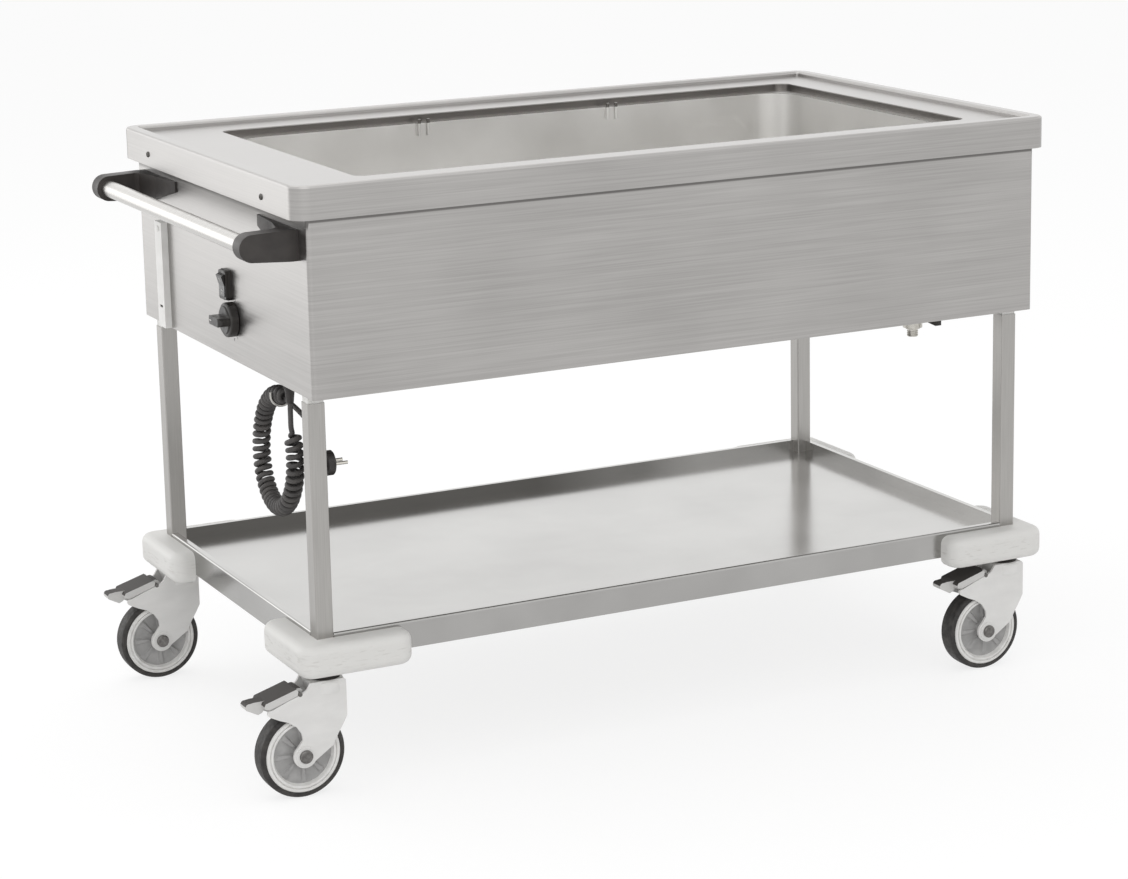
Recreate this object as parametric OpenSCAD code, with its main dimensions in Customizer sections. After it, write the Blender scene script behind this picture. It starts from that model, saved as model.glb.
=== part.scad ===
// Heated food trolley: a heated well for three full-size food pans on a four-legged frame,
// with a push handle and controls on one end, a lower shelf, corner bumpers and braked castors.
// X runs along the trolley with the handle at the low end, Y runs to the rear, Z is up from the floor.

/* [Top] */
// Length of the top over its lips
top_l = 1205; // [1170:5:1300]
// Depth of the top over its lips
top_w = 710; // [690:5:780]
// Height of the rim above the floor
top_z = 860; // [840:5:900]
// Height of the lip that hangs round the top
lip_h = 47; // [35:1:60]
// Width of the lip's turned-in lower edge
lip_return = 6; // [3:0.5:6]
// Width of the raised rim
rim_w = 20; // [14:1:22]
// Height of the rim above the deck
rim_rise = 8; // [6:0.5:12]
// Rounding of the rim's edges
rim_edge_r = 4; // [3:0.5:5]
// Plan radius of the top's corners
top_corner_r = 24; // [24:1:40]
// Thickness of the sheet steel
sheet = 1.5; // [1:0.25:2]

/* [Well] */
// Number of pans side by side
pans = 3; // [2:1:3]
// Width of one pan
pan_w = 325; // [300:1:330]
// Length of one pan
pan_l = 530; // [500:1:540]
// Gap between neighbouring pans, for a cross bar
pan_gap = 6; // [4:1:8]
// Play at each end of the row of pans
pan_play_x = 3; // [2:0.5:5]
// Play at each side of the row of pans
pan_play_y = 4; // [2:0.5:6]
// Distance of the well from the middle of the top, towards the far end
well_shift = 20; // [10:1:30]
// Width of the ledge that carries the pans
ledge_w = 12; // [10:1:14]
// Depth of the ledge below the deck
ledge_drop = 12; // [8:1:16]
// Depth of the well below its ledge
well_depth = 190; // [150:5:210]
// Plan radius of the opening's corners
opening_r = 18; // [14:1:24]
// Plan radius of the well's corners
well_r = 55; // [40:1:60]
// Rounding between the well's walls and floor
floor_r = 15; // [10:1:20]
// Width of the flange that joins the well to the deck
well_flange = 12; // [8:1:16]
// Diameter of the guide pins for the cross bars
guide_d = 5; // [4:0.5:6]
// Height of the guide pins
guide_h = 26; // [20:1:30]
// Distance between the two pins of a guide
guide_pitch = 15; // [13:1:18]

/* [Housing] */
// Overhang of the lip at each end of the housing
end_inset = 20; // [15:1:28]
// Overhang of the lip at the front and the rear
side_inset = 8; // [8:0.5:14]
// Height of the housing, from its underside to the rim
housing_h = 293; // [260:1:300]
// Plan radius of the housing's corners
housing_r = 6; // [4:0.5:12]
// Height of the base panel's turned-up edge
base_flange = 14; // [10:1:20]
// Side of the plate that stiffens the base over each leg
gusset = 80; // [60:5:100]
// Thickness of that plate
gusset_t = 4; // [3:0.5:6]
// Thickness of the insulation round the well
lagging = 20; // [12:1:25]

/* [Legs] */
// Side of the square leg tube
leg_s = 25; // [22:1:30]
// Wall of the leg tube
leg_wall = 1.5; // [1.25:0.25:2]
// Outer corner radius of the leg tube
leg_r = 2; // [1.75:0.25:3]
// Distance of the leg from the end face of the housing
leg_inset_x = 5; // [3:1:15]
// Distance of the leg from the front or rear face of the housing
leg_inset_y = 33.5; // [30:0.5:40]
// Height of the spacer between leg and housing
spacer_h = 12; // [8:1:16]
// Setback of the spacer's faces from the leg's
spacer_inset = 1; // [0.5:0.5:2]

/* [Shelf] */
// Height of the shelf's rim above the floor
shelf_z = 229; // [228:1:250]
// Height of the shelf's edge
shelf_h = 40; // [32:1:44]
// Depth of the shelf's surface below its rim
shelf_dish = 18; // [10:1:20]
// Width of the shelf's folded rim
shelf_rim = 10; // [8:1:14]
// Width of the stiffening channels under the shelf
channel_w = 60; // [40:5:80]
// Height of the stiffening channels under the shelf
channel_h = 16; // [10:1:16]
// Distance between the stiffening channels
channel_pitch = 600; // [400:10:700]

/* [Bumpers] */
// Distance that the bumpers stand out from the legs
bumper_reach = 35; // [28:1:42]
// Height of the bumpers
bumper_h = 47; // [44:1:48]
// Distance of the bumpers' upper edge below the shelf's rim
bumper_drop = 6; // [5:1:7]
// Length of a bumper's arm along the front
bumper_arm_x = 168; // [120:1:200]
// Length of a bumper's arm round the end
bumper_arm_y = 166; // [120:1:200]
// Plan radius of the bumper's corners
bumper_r = 22; // [20:1:26]
// Rounding of the bumper's upper and lower edges
bumper_edge_r = 13; // [8:1:18]
// Side of the bumper's web under the leg
web_s = 46; // [40:1:60]
// Thickness of the bumper's web under the leg
bumper_web = 3; // [2:0.5:4]

/* [Castors] */
// Wheel diameter
wheel_d = 125; // [120:1:125]
// Wheel width
wheel_w = 32; // [26:1:34]
// Thickness of the rubber tyre
tyre_t = 8; // [6:0.5:10]
// Distance of the wheel's axle behind the swivel axis
trail = 40; // [36:1:42]
// Axle diameter
axle_d = 12; // [8:1:14]
// Height of the fork's crown above the floor
crown_z = 166; // [165:0.5:168]
// Thickness of the fork's crown
crown_t = 18; // [14:1:20]
// Diameter of the fork's crown
crown_d = 54; // [48:1:60]
// Distance of the brake pedal's tip from the swivel axis
pedal_reach = 120; // [116:1:124]
// Thickness of a fork cheek
cheek_t = 4; // [3:0.5:5]
// Side play of the wheel in its fork
wheel_play = 3; // [2:0.5:4]
// Diameter of the boss round the axle
boss_d = 34; // [30:1:38]
// Diameter of the swivel stem
stem_d = 18; // [16:1:20]
// Diameter of the kingpin that carries the fork
kingpin_d = 12; // [10:1:14]
// Height of the castor's plug inside the leg
plug_in = 40; // [30:1:60]
// Width of the brake pedal between the cheeks
pedal_w = 30; // [24:1:32]
// Width of the brake pedal's tip
tip_w = 20; // [16:1:30]
// Diameter of the brake pedal's pin
pedal_pin_d = 6; // [5:0.5:8]

/* [Handle] */
// Diameter of the handle tube
handle_d = 25; // [22:1:28]
// Wall of the handle tube
handle_wall = 1.5; // [1:0.25:2]
// Distance of the handle tube from the housing
handle_reach = 65; // [55:1:80]
// Distance of the handle tube below the rim
handle_drop = 84; // [78:1:90]
// Distance over the handle's brackets
handle_span = 632; // [600:2:680]
// Diameter of a bracket round the tube
bracket_d = 38; // [34:1:42]
// Height of a bracket at the housing
root_h = 43; // [40:1:48]
// Thickness of a bracket
bracket_t = 26; // [20:1:30]
// Thickness of the cap that closes the bracket
bracket_cap = 6; // [4:0.5:10]
// Length of the bracket's wing along the housing
foot_l = 120; // [60:5:160]
// Height of the wing's tip
foot_h = 16; // [12:1:24]
// Thickness of the wing at the bracket
foot_t = 20; // [12:1:26]

/* [Controls] */
// Diameter of the thermostat knob
knob_d = 50; // [40:1:56]
// Depth of the thermostat knob
knob_h = 30; // [22:1:36]
// Distance of the knob in front of the middle
knob_y = 50; // [30:1:70]
// Height of the knob above the housing's underside
knob_up = 61; // [48:1:65]
// Width of the switch
switch_w = 30; // [26:1:36]
// Height of the switch
switch_h = 44; // [42:1:50]
// Distance of the switch in front of the middle
switch_y = 33; // [20:1:60]
// Height of the switch above the housing's underside
switch_up = 109; // [107:1:123]
// Distance that the switch frame stands out
switch_t = 9; // [6:0.5:12]
// Tilt of the rocker to each side
rocker_tilt = 8; // [5:1:10]
// Width of the channel cover beside the controls
cover_w = 30; // [24:1:40]
// Depth of the channel cover
cover_t = 10; // [6:1:14]
// Height of the channel cover
cover_h = 161; // [120:1:170]
// Distance of the channel cover from the rear of the housing
cover_in = 109; // [107:1:167]
// Distance of the end screws from the front and rear of the top
screw_in = 120; // [115:1:155]

/* [Drain] */
// Distance of the drain from the well's end wall
drain_in_x = 50; // [45:1:80]
// Distance of the drain from the well's side wall
drain_in_y = 40; // [36:1:70]
// Outer diameter of the drain pipe
drain_d = 22; // [18:1:26]
// Bore of the drain pipe
drain_bore = 18; // [12:1:18]
// Outer diameter of the drain's hose tail
tail_d = 16; // [14:1:18]
// Length of the drain's hose tail
tail_l = 12; // [10:1:16]
// Length of the drain cock's lever
lever_l = 42; // [30:1:50]

/* [Cord] */
// Diameter of the cord
cord_d = 7.5; // [6.5:0.25:7.5]
// Outer diameter of the curls
curl_d = 26.5; // [24:0.5:27]
// Number of curls
curls = 41; // [38:1:41]
// Half height of the hanging loop
loop_rz = 82; // [80:1:84]
// Half width of the hanging loop
loop_ry = 72; // [71:0.5:76]
// Diameter of the plug's face
plug_d = 35; // [34:0.5:37]
// Length of the plug's pins
plug_pin_l = 19; // [17:1:20]

/* [Hidden] */

// Signs of the four corners
front_left = [-1, -1];
rear_left = [-1, 1];
front_right = [1, -1];
rear_right = [1, 1];
corners = [front_left, rear_left, front_right, rear_right];

// Clearances
run_gap = 0.05;
slide_gap = 0.3;
shoe_gap = 1.6;
seat_gap = 0.1;

// Smoothness
fine = 96;
medium = 48;
coarse = 32;

// Heights and plan sizes
deck_z = top_z - rim_rise;
deck_under = deck_z - sheet;
ledge_z = deck_z - ledge_drop;
floor_z = ledge_z - well_depth;
opening_l = pans * pan_w + (pans - 1) * pan_gap + 2 * pan_play_x;
opening_w = pan_l + 2 * pan_play_y;
well_l = opening_l - 2 * ledge_w;
well_w = opening_w - 2 * ledge_w;
housing_z = top_z - housing_h;
jacket_l = top_l - 2 * end_inset;
jacket_w = top_w - 2 * side_inset;
jacket_x = jacket_l / 2;
jacket_y = jacket_w / 2;
leg_x = jacket_x - leg_inset_x - leg_s / 2;
leg_y = jacket_y - leg_inset_y - leg_s / 2;
frame_x = leg_x + leg_s / 2;
frame_y = leg_y + leg_s / 2;
bumper_z = shelf_z - bumper_drop - bumper_h;
leg_foot = bumper_z + bumper_web;
leg_top = housing_z - spacer_h;
spacer_plug = 1.6 * spacer_h;
shelf_top = shelf_z - shelf_dish;
base_top = housing_z + sheet;
handle_x = -jacket_x - handle_reach;
handle_z = top_z - handle_drop;
knob_z = housing_z + knob_up;
switch_z = housing_z + switch_up;
cover_y = jacket_y - cover_in;
screw_y = top_w / 2 - screw_in;
drain_x = well_shift + well_l / 2 - drain_in_x;
drain_y = -well_w / 2 + drain_in_y;
wheel_r = wheel_d / 2;
rim_r = wheel_r - tyre_t;
fork_in = wheel_w / 2 + wheel_play;
fork_out = fork_in + cheek_t;

// The origin lies under the middle of the box from the near pedals' tips to the far bumpers
near_tip = max(leg_x + pedal_reach, bracket_d / 2 - handle_x);
far_tip = max(frame_x + bumper_reach, top_l / 2);
origin_x = (near_tip - far_tip) / 2;

// Points of an arc about [x, z] from angle a to angle b in n steps
function arc(x, z, r, a, b, n) =
    [for (i = [0 : n]) [x + r * cos(a + (b - a) * i / n), z + r * sin(a + (b - a) * i / n)]];

module placed() {
    translate([origin_x, 0, 0])
        children();
}

// A rectangle with round corners
module rounded(l, w, r) {
    square([l - 2 * r, w], center = true);
    square([l, w - 2 * r], center = true);
    for (sx = [-1, 1], sy = [-1, 1])
        translate([sx * (l / 2 - r), sy * (w / 2 - r)])
            circle(r = r, $fn = medium);
}

// Carries a profile round a rounded rectangle; the profile's x is 0 on the outside and negative inwards
module swept(l, w, r) {
    for (side = [0, 1]) {
        mirror([side, 0, 0])
            translate([l / 2, 0, 0])
                rotate([90, 0, 0])
                    linear_extrude(height = w - 2 * r, center = true)
                        children();
        mirror([0, side, 0])
            rotate([0, 0, 90])
                translate([w / 2, 0, 0])
                    rotate([90, 0, 0])
                        linear_extrude(height = l - 2 * r, center = true)
                            children();
    }
    for (mx = [0, 1], my = [0, 1])
        mirror([mx, 0, 0])
            mirror([0, my, 0])
                translate([l / 2 - r, w / 2 - r, 0])
                    rotate_extrude(angle = 90, $fn = fine)
                        translate([r, 0])
                            children();
}

// A plate with its lower face at z
module plate(z, t) {
    translate([0, 0, z])
        linear_extrude(height = t)
            children();
}

// A cylinder along Y through [x, z], centred on y
module along_y(x, y, z, r, h, fn = fine) {
    translate([x, y, z])
        rotate([90, 0, 0])
            cylinder(r = r, h = h, center = true, $fn = fn);
}

// A profile drawn in X and Z, extruded along Y and centred on y
module side_profile(y, h) {
    translate([0, y, 0])
        rotate([90, 0, 0])
            linear_extrude(height = h, center = true)
                children();
}

// TOP

// Deck with a raised rim, folded down as a lip and turned in below
module rim_section() {
    r = rim_edge_r;
    polygon(concat(
        [[0, top_z - lip_h]],
        arc(-r, top_z - r, r, 0, 90, 5),
        arc(-rim_w + r, top_z - r, r, 90, 180, 5),
        [[-rim_w, deck_under], [-rim_w + sheet, deck_under]],
        arc(-rim_w + r, top_z - r, r - sheet, 180, 90, 5),
        arc(-r, top_z - r, r - sheet, 90, 0, 5),
        [[-sheet, top_z - lip_h + sheet], [-lip_return, top_z - lip_h + sheet], [-lip_return, top_z - lip_h]]));
}

module top_frame() {
    deck_l = top_l - 2 * rim_w + sheet;
    deck_w = top_w - 2 * rim_w + sheet;
    color("gainsboro") placed() {
        difference() {
            swept(top_l, top_w, top_corner_r)
                rim_section();
            for (p = screw_places())
                lip_screw_hole(p);
        }
        plate(deck_under, sheet)
            difference() {
                rounded(deck_l, deck_w, top_corner_r - rim_w + sheet / 2 + 1);
                translate([well_shift, 0])
                    rounded(opening_l, opening_w, opening_r);
            }
    }
}

// Pan-head screws through both end lips
function screw_places() = [for (sx = [-1, 1], sy = [-1, 1]) [sx, sy]];
screw_z = top_z - 29;
screw_head_r = 4.5;
screw_head_h = 2.4;
screw_shank_r = 2.4;
screw_shank_l = 8;

module lip_screw_hole(p) {
    translate([p[0] * (top_l / 2 - sheet / 2), p[1] * screw_y, screw_z])
        rotate([0, 90, 0])
            cylinder(r = screw_shank_r + run_gap, h = 3 * sheet, center = true, $fn = coarse);
}

module lip_screws() {
    color("silver") placed()
        for (p = screw_places())
            translate([p[0] * top_l / 2, p[1] * screw_y, screw_z])
                rotate([0, p[0] * 90, 0]) {
                    rotate_extrude($fn = coarse)
                        polygon([[0, 0], [screw_head_r, 0], [screw_head_r, screw_head_h * 0.4],
                            [screw_head_r * 0.8, screw_head_h * 0.85], [0, screw_head_h]]);
                    translate([0, 0, -screw_shank_l])
                        cylinder(r = screw_shank_r, h = screw_shank_l, $fn = coarse);
                }
}

// WELL

well_wall_l = well_l + 2 * sheet;
well_wall_w = well_w + 2 * sheet;
well_wall_r = well_r + sheet;

module well_section() {
    r = floor_r;
    polygon(concat(
        [[0, ledge_z - sheet / 2]],
        arc(-r - sheet, floor_z + r, r + sheet, 0, -90, 6),
        [[-r - 4, floor_z - sheet], [-r - 4, floor_z]],
        arc(-r - sheet, floor_z + r, r, -90, 0, 6),
        [[-sheet, ledge_z - sheet / 2]]));
}

module well_tub() {
    flange_l = opening_l + 2 * well_flange;
    flange_w = opening_w + 2 * well_flange;
    color("lightgray") placed() translate([well_shift, 0, 0]) {
        plate(deck_under - sheet, sheet)
            difference() {
                rounded(flange_l, flange_w, opening_r + well_flange);
                rounded(opening_l, opening_w, opening_r);
            }
        plate(ledge_z - sheet, ledge_drop - sheet / 2)
            difference() {
                rounded(opening_l + 2 * sheet, opening_w + 2 * sheet, opening_r + sheet);
                rounded(opening_l, opening_w, opening_r);
            }
        plate(ledge_z - sheet, sheet)
            difference() {
                rounded(opening_l + sheet, opening_w + sheet, opening_r + sheet / 2);
                rounded(well_l, well_w, well_r);
            }
        swept(well_wall_l, well_wall_w, well_wall_r)
            well_section();
        plate(floor_z - sheet, sheet)
            difference() {
                rounded(well_wall_l - 2 * floor_r - 4, well_wall_w - 2 * floor_r - 4,
                    well_wall_r - floor_r - 2);
                translate([drain_x - well_shift, drain_y])
                    circle(d = drain_bore, $fn = medium);
            }
    }
}

// Pairs of pins on a small plate that hold the ends of the cross bars between the pans
module bar_guides() {
    plate_t = 2;
    plate_w = guide_pitch + guide_d + 4;
    low = ledge_z - guide_h + ledge_drop / 2;
    color("silver") placed()
        for (i = [1 : pans - 1], sy = [-1, 1]) {
            bar_x = well_shift - opening_l / 2 + pan_play_x + i * (pan_w + pan_gap) - pan_gap / 2;
            translate([bar_x, sy * (well_w / 2 - plate_t / 2), low + 9])
                cube([plate_w, plate_t, 18], center = true);
            for (sx = [-1, 1])
                translate([bar_x + sx * guide_pitch / 2, sy * (well_w / 2 - plate_t - guide_d / 2 + 0.5), low])
                    cylinder(d = guide_d, h = guide_h, $fn = coarse);
        }
}

// Mineral wool round the walls, up to the jacket at the far end, and under the heater
element_d = 8.5;
element_z = floor_z - sheet - element_d / 2 - seat_gap;
wool_top = element_z - element_d / 2 - seat_gap;
wool_w = well_wall_w + 2 * lagging;
wool_near = well_shift - well_wall_l / 2 - lagging;
wool_far = jacket_x - sheet - seat_gap;
strap_t = lagging / 2;

module well_lagging() {
    low = wool_top - lagging;
    color("khaki") placed() {
        plate(floor_z + floor_r, ledge_z - 2 * sheet - floor_z - floor_r)
            difference() {
                translate([(wool_near + wool_far) / 2, 0])
                    rounded(wool_far - wool_near, wool_w, well_wall_r + lagging);
                translate([well_shift, 0])
                    rounded(well_wall_l + 2 * seat_gap, well_wall_w + 2 * seat_gap, well_wall_r + seat_gap);
            }
        plate(low, lagging)
            difference() {
                translate([well_shift, 0])
                    rounded(well_wall_l, well_wall_w, well_wall_r);
                translate([drain_x, drain_y])
                    circle(d = drain_d + 2, $fn = medium);
                translate([well_shift - element_l / 2, 0])
                    square([2 * terminal_gap, run_pitch * element_runs], center = true);
            }
        // The slab under the floor hangs from the walls' wool by a strap at each end
        for (sx = [-1, 1])
            translate([well_shift + sx * (well_wall_l + strap_t) / 2, 0, low + (floor_z - low + floor_r) / 2])
                cube([strap_t, well_wall_w / 2, floor_z - low + floor_r], center = true);
    }
}

// A tubular heater bent to and fro under the well's floor
element_runs = 6;
element_l = 760;
run_pitch = 62;
terminal_gap = 12;

module heating_element() {
    first = -(element_runs - 1) / 2 * run_pitch;
    color("dimgray") placed() translate([well_shift, 0, element_z]) {
        for (i = [0 : element_runs - 1])
            translate([0, first + i * run_pitch, 0])
                rotate([0, 90, 0])
                    cylinder(d = element_d, h = element_l, center = true, $fn = coarse);
        for (i = [0 : element_runs - 2]) {
            turn = i % 2 == 0 ? 1 : -1;
            translate([turn * element_l / 2, first + (i + 0.5) * run_pitch, 0])
                rotate([0, 0, -turn * 90])
                    rotate_extrude(angle = 180, $fn = fine)
                        translate([run_pitch / 2, 0])
                            circle(d = element_d, $fn = coarse);
        }
        for (sy = [-1, 1])
            translate([-element_l / 2, sy * first, -lagging - element_d])
                cylinder(d = element_d, h = lagging + element_d, $fn = coarse);
    }
}

// HOUSING

module housing_jacket() {
    color("gainsboro") placed()
        difference() {
            swept(jacket_l, jacket_w, housing_r)
                translate([-sheet, housing_z])
                    square([sheet, deck_under - housing_z]);
            translate([-jacket_x, -knob_y, knob_z])
                rotate([0, 90, 0])
                    cylinder(r = bush_r + run_gap, h = 4 * sheet, center = true, $fn = medium);
            translate([-jacket_x, -switch_y, switch_z])
                cube([4 * sheet, switch_body_w + 2 * seat_gap, switch_body_h + 2 * seat_gap], center = true);
        }
}

module base_panel() {
    inner_l = jacket_l - 2 * sheet;
    inner_w = jacket_w - 2 * sheet;
    inner_r = housing_r - sheet;
    color("silver") placed() {
        difference() {
            union() {
                plate(housing_z, sheet)
                    rounded(inner_l, inner_w, inner_r);
                plate(housing_z, base_flange)
                    difference() {
                        rounded(inner_l, inner_w, inner_r);
                        rounded(inner_l - 2 * sheet, inner_w - 2 * sheet, inner_r - sheet);
                    }
            }
            translate([drain_x, drain_y, housing_z])
                cylinder(d = drain_d + 2 * slide_gap, h = 4 * sheet, center = true, $fn = medium);
            translate([gland_x, gland_y, housing_z])
                cylinder(r = gland_thread_r + run_gap, h = 4 * sheet, center = true, $fn = medium);
        }
        for (p = corners)
            translate([p[0] * leg_x, p[1] * leg_y, base_top + gusset_t / 2])
                difference() {
                    cube([gusset_side(leg_x, inner_l), gusset_side(leg_y, inner_w), gusset_t], center = true);
                    // Clear of the cable gland's lock nut
                    translate([gland_x - p[0] * leg_x, gland_y - p[1] * leg_y, 0])
                        cylinder(r = gland_nut_r + 2, h = 2 * gusset_t, center = true, $fn = medium);
                }
    }
}

// Side of a stiffening plate, limited by the turned-up edge beside it
function gusset_side(at, inner) = min(gusset, 2 * (inner / 2 - sheet - at));

module channel_cover() {
    z0 = housing_z;
    color("whitesmoke") placed() translate([-jacket_x, cover_y, z0]) {
        difference() {
            translate([-cover_t, -cover_w / 2, 0])
                cube([cover_t, cover_w, cover_h]);
            translate([-cover_t + sheet, -cover_w / 2 + sheet, -1])
                cube([cover_t, cover_w - 2 * sheet, cover_h + 1 - sheet]);
            translate([-cover_t, 0, cover_h - 10])
                rotate([0, 90, 0])
                    cylinder(r = screw_shank_r + run_gap, h = 4 * sheet, center = true, $fn = coarse);
            translate([-cover_t, 0, 32])
                cube([4 * sheet, 12, 4], center = true);
        }
        // Fixing screw at the top of the cover
        translate([-cover_t, 0, cover_h - 10])
            rotate([0, -90, 0]) {
                cylinder(r = screw_head_r, h = screw_head_h * 0.7, $fn = coarse);
                translate([0, 0, -cover_t])
                    cylinder(r = screw_shank_r, h = cover_t, $fn = coarse);
            }
    }
}

// CONTROLS

bush_r = 5;
spindle_r = 3;
spindle_l = 16;
thermostat_w = 44;
thermostat_h = 40;
thermostat_t = 34;
knob_face = 2;
knob_stand = 1;

module thermostat_body() {
    color("beige") placed() translate([-jacket_x, -knob_y, knob_z]) {
        difference() {
            translate([sheet, -thermostat_w / 2, -thermostat_h / 2])
                cube([thermostat_t, thermostat_w, thermostat_h]);
            for (sy = [-1, 1])
                translate([sheet + thermostat_t, sy * 14, -6])
                    cube([12, 6, 14], center = true);
        }
        rotate([0, 90, 0]) {
            translate([0, 0, -knob_stand / 2])
                cylinder(r = bush_r, h = sheet + knob_stand / 2, $fn = medium);
            translate([0, 0, -knob_stand - spindle_l])
                cylinder(r = spindle_r, h = spindle_l + knob_stand, $fn = medium);
        }
    }
}

// Skirt with a domed face and a raised grip bar, bored for the spindle
module thermostat_knob() {
    r = knob_d / 2;
    skirt = knob_h * 0.42;
    color("#26221f") placed()
        translate([-jacket_x - knob_stand, -knob_y, knob_z])
            rotate([0, -90, 0])
                difference() {
                    union() {
                        rotate_extrude($fn = fine)
                            polygon(concat([[0, 0], [r, 0]], arc(r - 3, skirt - 3, 3, 0, 90, 4),
                                [[r * 0.82, skirt], [r * 0.78, skirt + 2], [0, skirt + knob_face]]));
                        intersection() {
                            plate(0, knob_h)
                                rounded(12, knob_d * 0.9, 5);
                            rotate_extrude($fn = fine)
                                polygon(concat([[0, 0], [r * 0.9, 0]],
                                    arc(r * 0.9 - 6, knob_h - 6, 6, 0, 90, 5), [[0, knob_h]]));
                        }
                    }
                    translate([0, 0, -1])
                        cylinder(r = spindle_r + run_gap, h = spindle_l + 2, $fn = medium);
                }
}

switch_body_w = switch_w - 6;
switch_body_h = switch_h - 6;
switch_body_t = 26;
rocker_r = switch_h / 2 - 4.5;
rocker_w = switch_w - 8;
rocker_x = -jacket_x - 3;

// Frame and body of the switch, with a round-ended pocket for the rocker
module switch_frame() {
    color("#2a2624") placed()
        difference() {
            union() {
                translate([-jacket_x, -switch_y, switch_z])
                    rotate([0, -90, 0]) {
                        plate(0, switch_t * 0.6)
                            rounded(switch_h, switch_w, 5);
                        plate(0, switch_t)
                            rounded(switch_h - 2, switch_w - 2, 4);
                    }
                translate([-jacket_x + switch_body_t / 2, -switch_y, switch_z])
                    cube([switch_body_t, switch_body_w, switch_body_h], center = true);
            }
            along_y(rocker_x, -switch_y, switch_z, rocker_r + slide_gap, rocker_w + 2 * slide_gap);
        }
}

module rocker_section() {
    polygon([[6, -rocker_r - 2], [6, rocker_r + 2], [-10, rocker_r + 2], [-7, 0], [-10, -rocker_r - 2]]);
}

module switch_rocker() {
    color("#1d1a19") placed()
        translate([rocker_x, 0, switch_z])
            rotate([0, -rocker_tilt, 0])
                side_profile(-switch_y, rocker_w)
                    intersection() {
                        rocker_section();
                        circle(r = rocker_r, $fn = fine);
                    }
}

module terminal_box() {
    l = 70;
    w = 50;
    h = 36;
    color("gray") placed() translate([-jacket_x + 120, -knob_y, base_top]) {
        plate(0, h)
            difference() {
                rounded(l, w, 4);
                rounded(l - 5, w - 5, 2);
            }
        plate(0, 2.5)
            rounded(l, w, 4);
        plate(h, 3)
            rounded(l + 3, w + 3, 5);
    }
}

// HANDLE

handle_end = handle_span / 2 - bracket_cap;

module handle_tube() {
    color("silver") placed()
        difference() {
            along_y(handle_x, 0, handle_z, handle_d / 2, 2 * (handle_end - seat_gap));
            along_y(handle_x, 0, handle_z, handle_d / 2 - handle_wall, handle_span);
        }
}

// Moulded arm with an eye for the tube and a wing that tapers out along the housing
module handle_bracket(side) {
    r = bracket_d / 2;
    low = handle_z - root_h / 2 - 1;
    high = low + root_h;
    mid_y = handle_span / 2 - bracket_t / 2;
    inner_y = handle_span / 2 - bracket_t;
    color("#2b2725") placed() mirror([0, side > 0 ? 0 : 1, 0])
        difference() {
            union() {
                side_profile(mid_y, bracket_t) {
                    translate([handle_x, handle_z])
                        circle(r = r, $fn = fine);
                    polygon([[handle_x, handle_z - r], [-jacket_x - 12, low], [-jacket_x, low],
                        [-jacket_x, high], [-jacket_x - 16, high], [handle_x, handle_z + r]]);
                }
                intersection() {
                    plate(low, root_h)
                        polygon([[-jacket_x, inner_y + 2], [-jacket_x, inner_y - foot_l],
                            [-jacket_x - 3, inner_y - foot_l],
                            [-jacket_x - foot_t * 0.45, inner_y - foot_l * 0.4],
                            [-jacket_x - foot_t, inner_y - 6], [-jacket_x - foot_t - 6, inner_y + 2]]);
                    translate([-jacket_x - 2 * foot_t, 0, 0])
                        rotate([90, 0, 90])
                            linear_extrude(height = 2 * foot_t)
                                polygon([[inner_y + 2, low], [inner_y - foot_l * 0.2, low + 3],
                                    [inner_y - foot_l * 0.5, low + root_h * 0.3],
                                    [inner_y - foot_l, high - foot_h], [inner_y - foot_l, high],
                                    [inner_y + 2, high]]);
                }
            }
            along_y(handle_x, handle_end - handle_span / 2, handle_z, handle_d / 2 + run_gap, handle_span);
        }
}

// FRAME

module leg(p) {
    color("silver") placed()
        translate([p[0] * leg_x, p[1] * leg_y, 0])
            plate(leg_foot, leg_top - leg_foot)
                difference() {
                    rounded(leg_s, leg_s, leg_r);
                    rounded(leg_s - 2 * leg_wall, leg_s - 2 * leg_wall, leg_r - leg_wall);
                }
}

module leg_spacers() {
    side = leg_s - 2 * spacer_inset;
    color("white") placed()
        for (p = corners)
            translate([p[0] * leg_x, p[1] * leg_y, 0]) {
                plate(leg_top, spacer_h)
                    rounded(side, side, leg_r);
                plate(leg_top - spacer_plug, spacer_plug)
                    rounded(leg_s - 2 * leg_wall - 2 * seat_gap, leg_s - 2 * leg_wall - 2 * seat_gap, 1);
            }
}

// SHELF

// Edge folded up, over and down again, turned in at the bottom
module shelf_section() {
    low = shelf_z - shelf_h;
    r = 3;
    polygon(concat(
        [[0, low]],
        arc(-r, shelf_z - r, r, 0, 90, 4),
        [[-shelf_rim, shelf_z], [-shelf_rim, shelf_top - sheet], [-shelf_rim + sheet, shelf_top - sheet],
            [-shelf_rim + sheet, shelf_z - sheet]],
        arc(-r, shelf_z - r, r - sheet, 90, 0, 4),
        [[-sheet, low + sheet], [-shelf_rim, low + sheet], [-shelf_rim, low]]));
}

module shelf_tray() {
    run_x = 2 * leg_x - leg_s;
    run_y = 2 * leg_y - leg_s;
    inner_l = 2 * frame_x - 2 * shelf_rim + sheet;
    inner_w = 2 * frame_y - 2 * shelf_rim + sheet;
    color("lightgray") placed() {
        for (side = [0, 1]) {
            mirror([side, 0, 0])
                translate([frame_x, 0, 0])
                    side_profile(0, run_y)
                        shelf_section();
            mirror([0, side, 0])
                rotate([0, 0, 90])
                    translate([frame_y, 0, 0])
                        side_profile(0, run_x)
                            shelf_section();
        }
        plate(shelf_top - sheet, sheet)
            difference() {
                square([inner_l, inner_w], center = true);
                for (p = corners)
                    translate([p[0] * leg_x, p[1] * leg_y])
                        square(leg_s, center = true);
            }
    }
}

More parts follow.
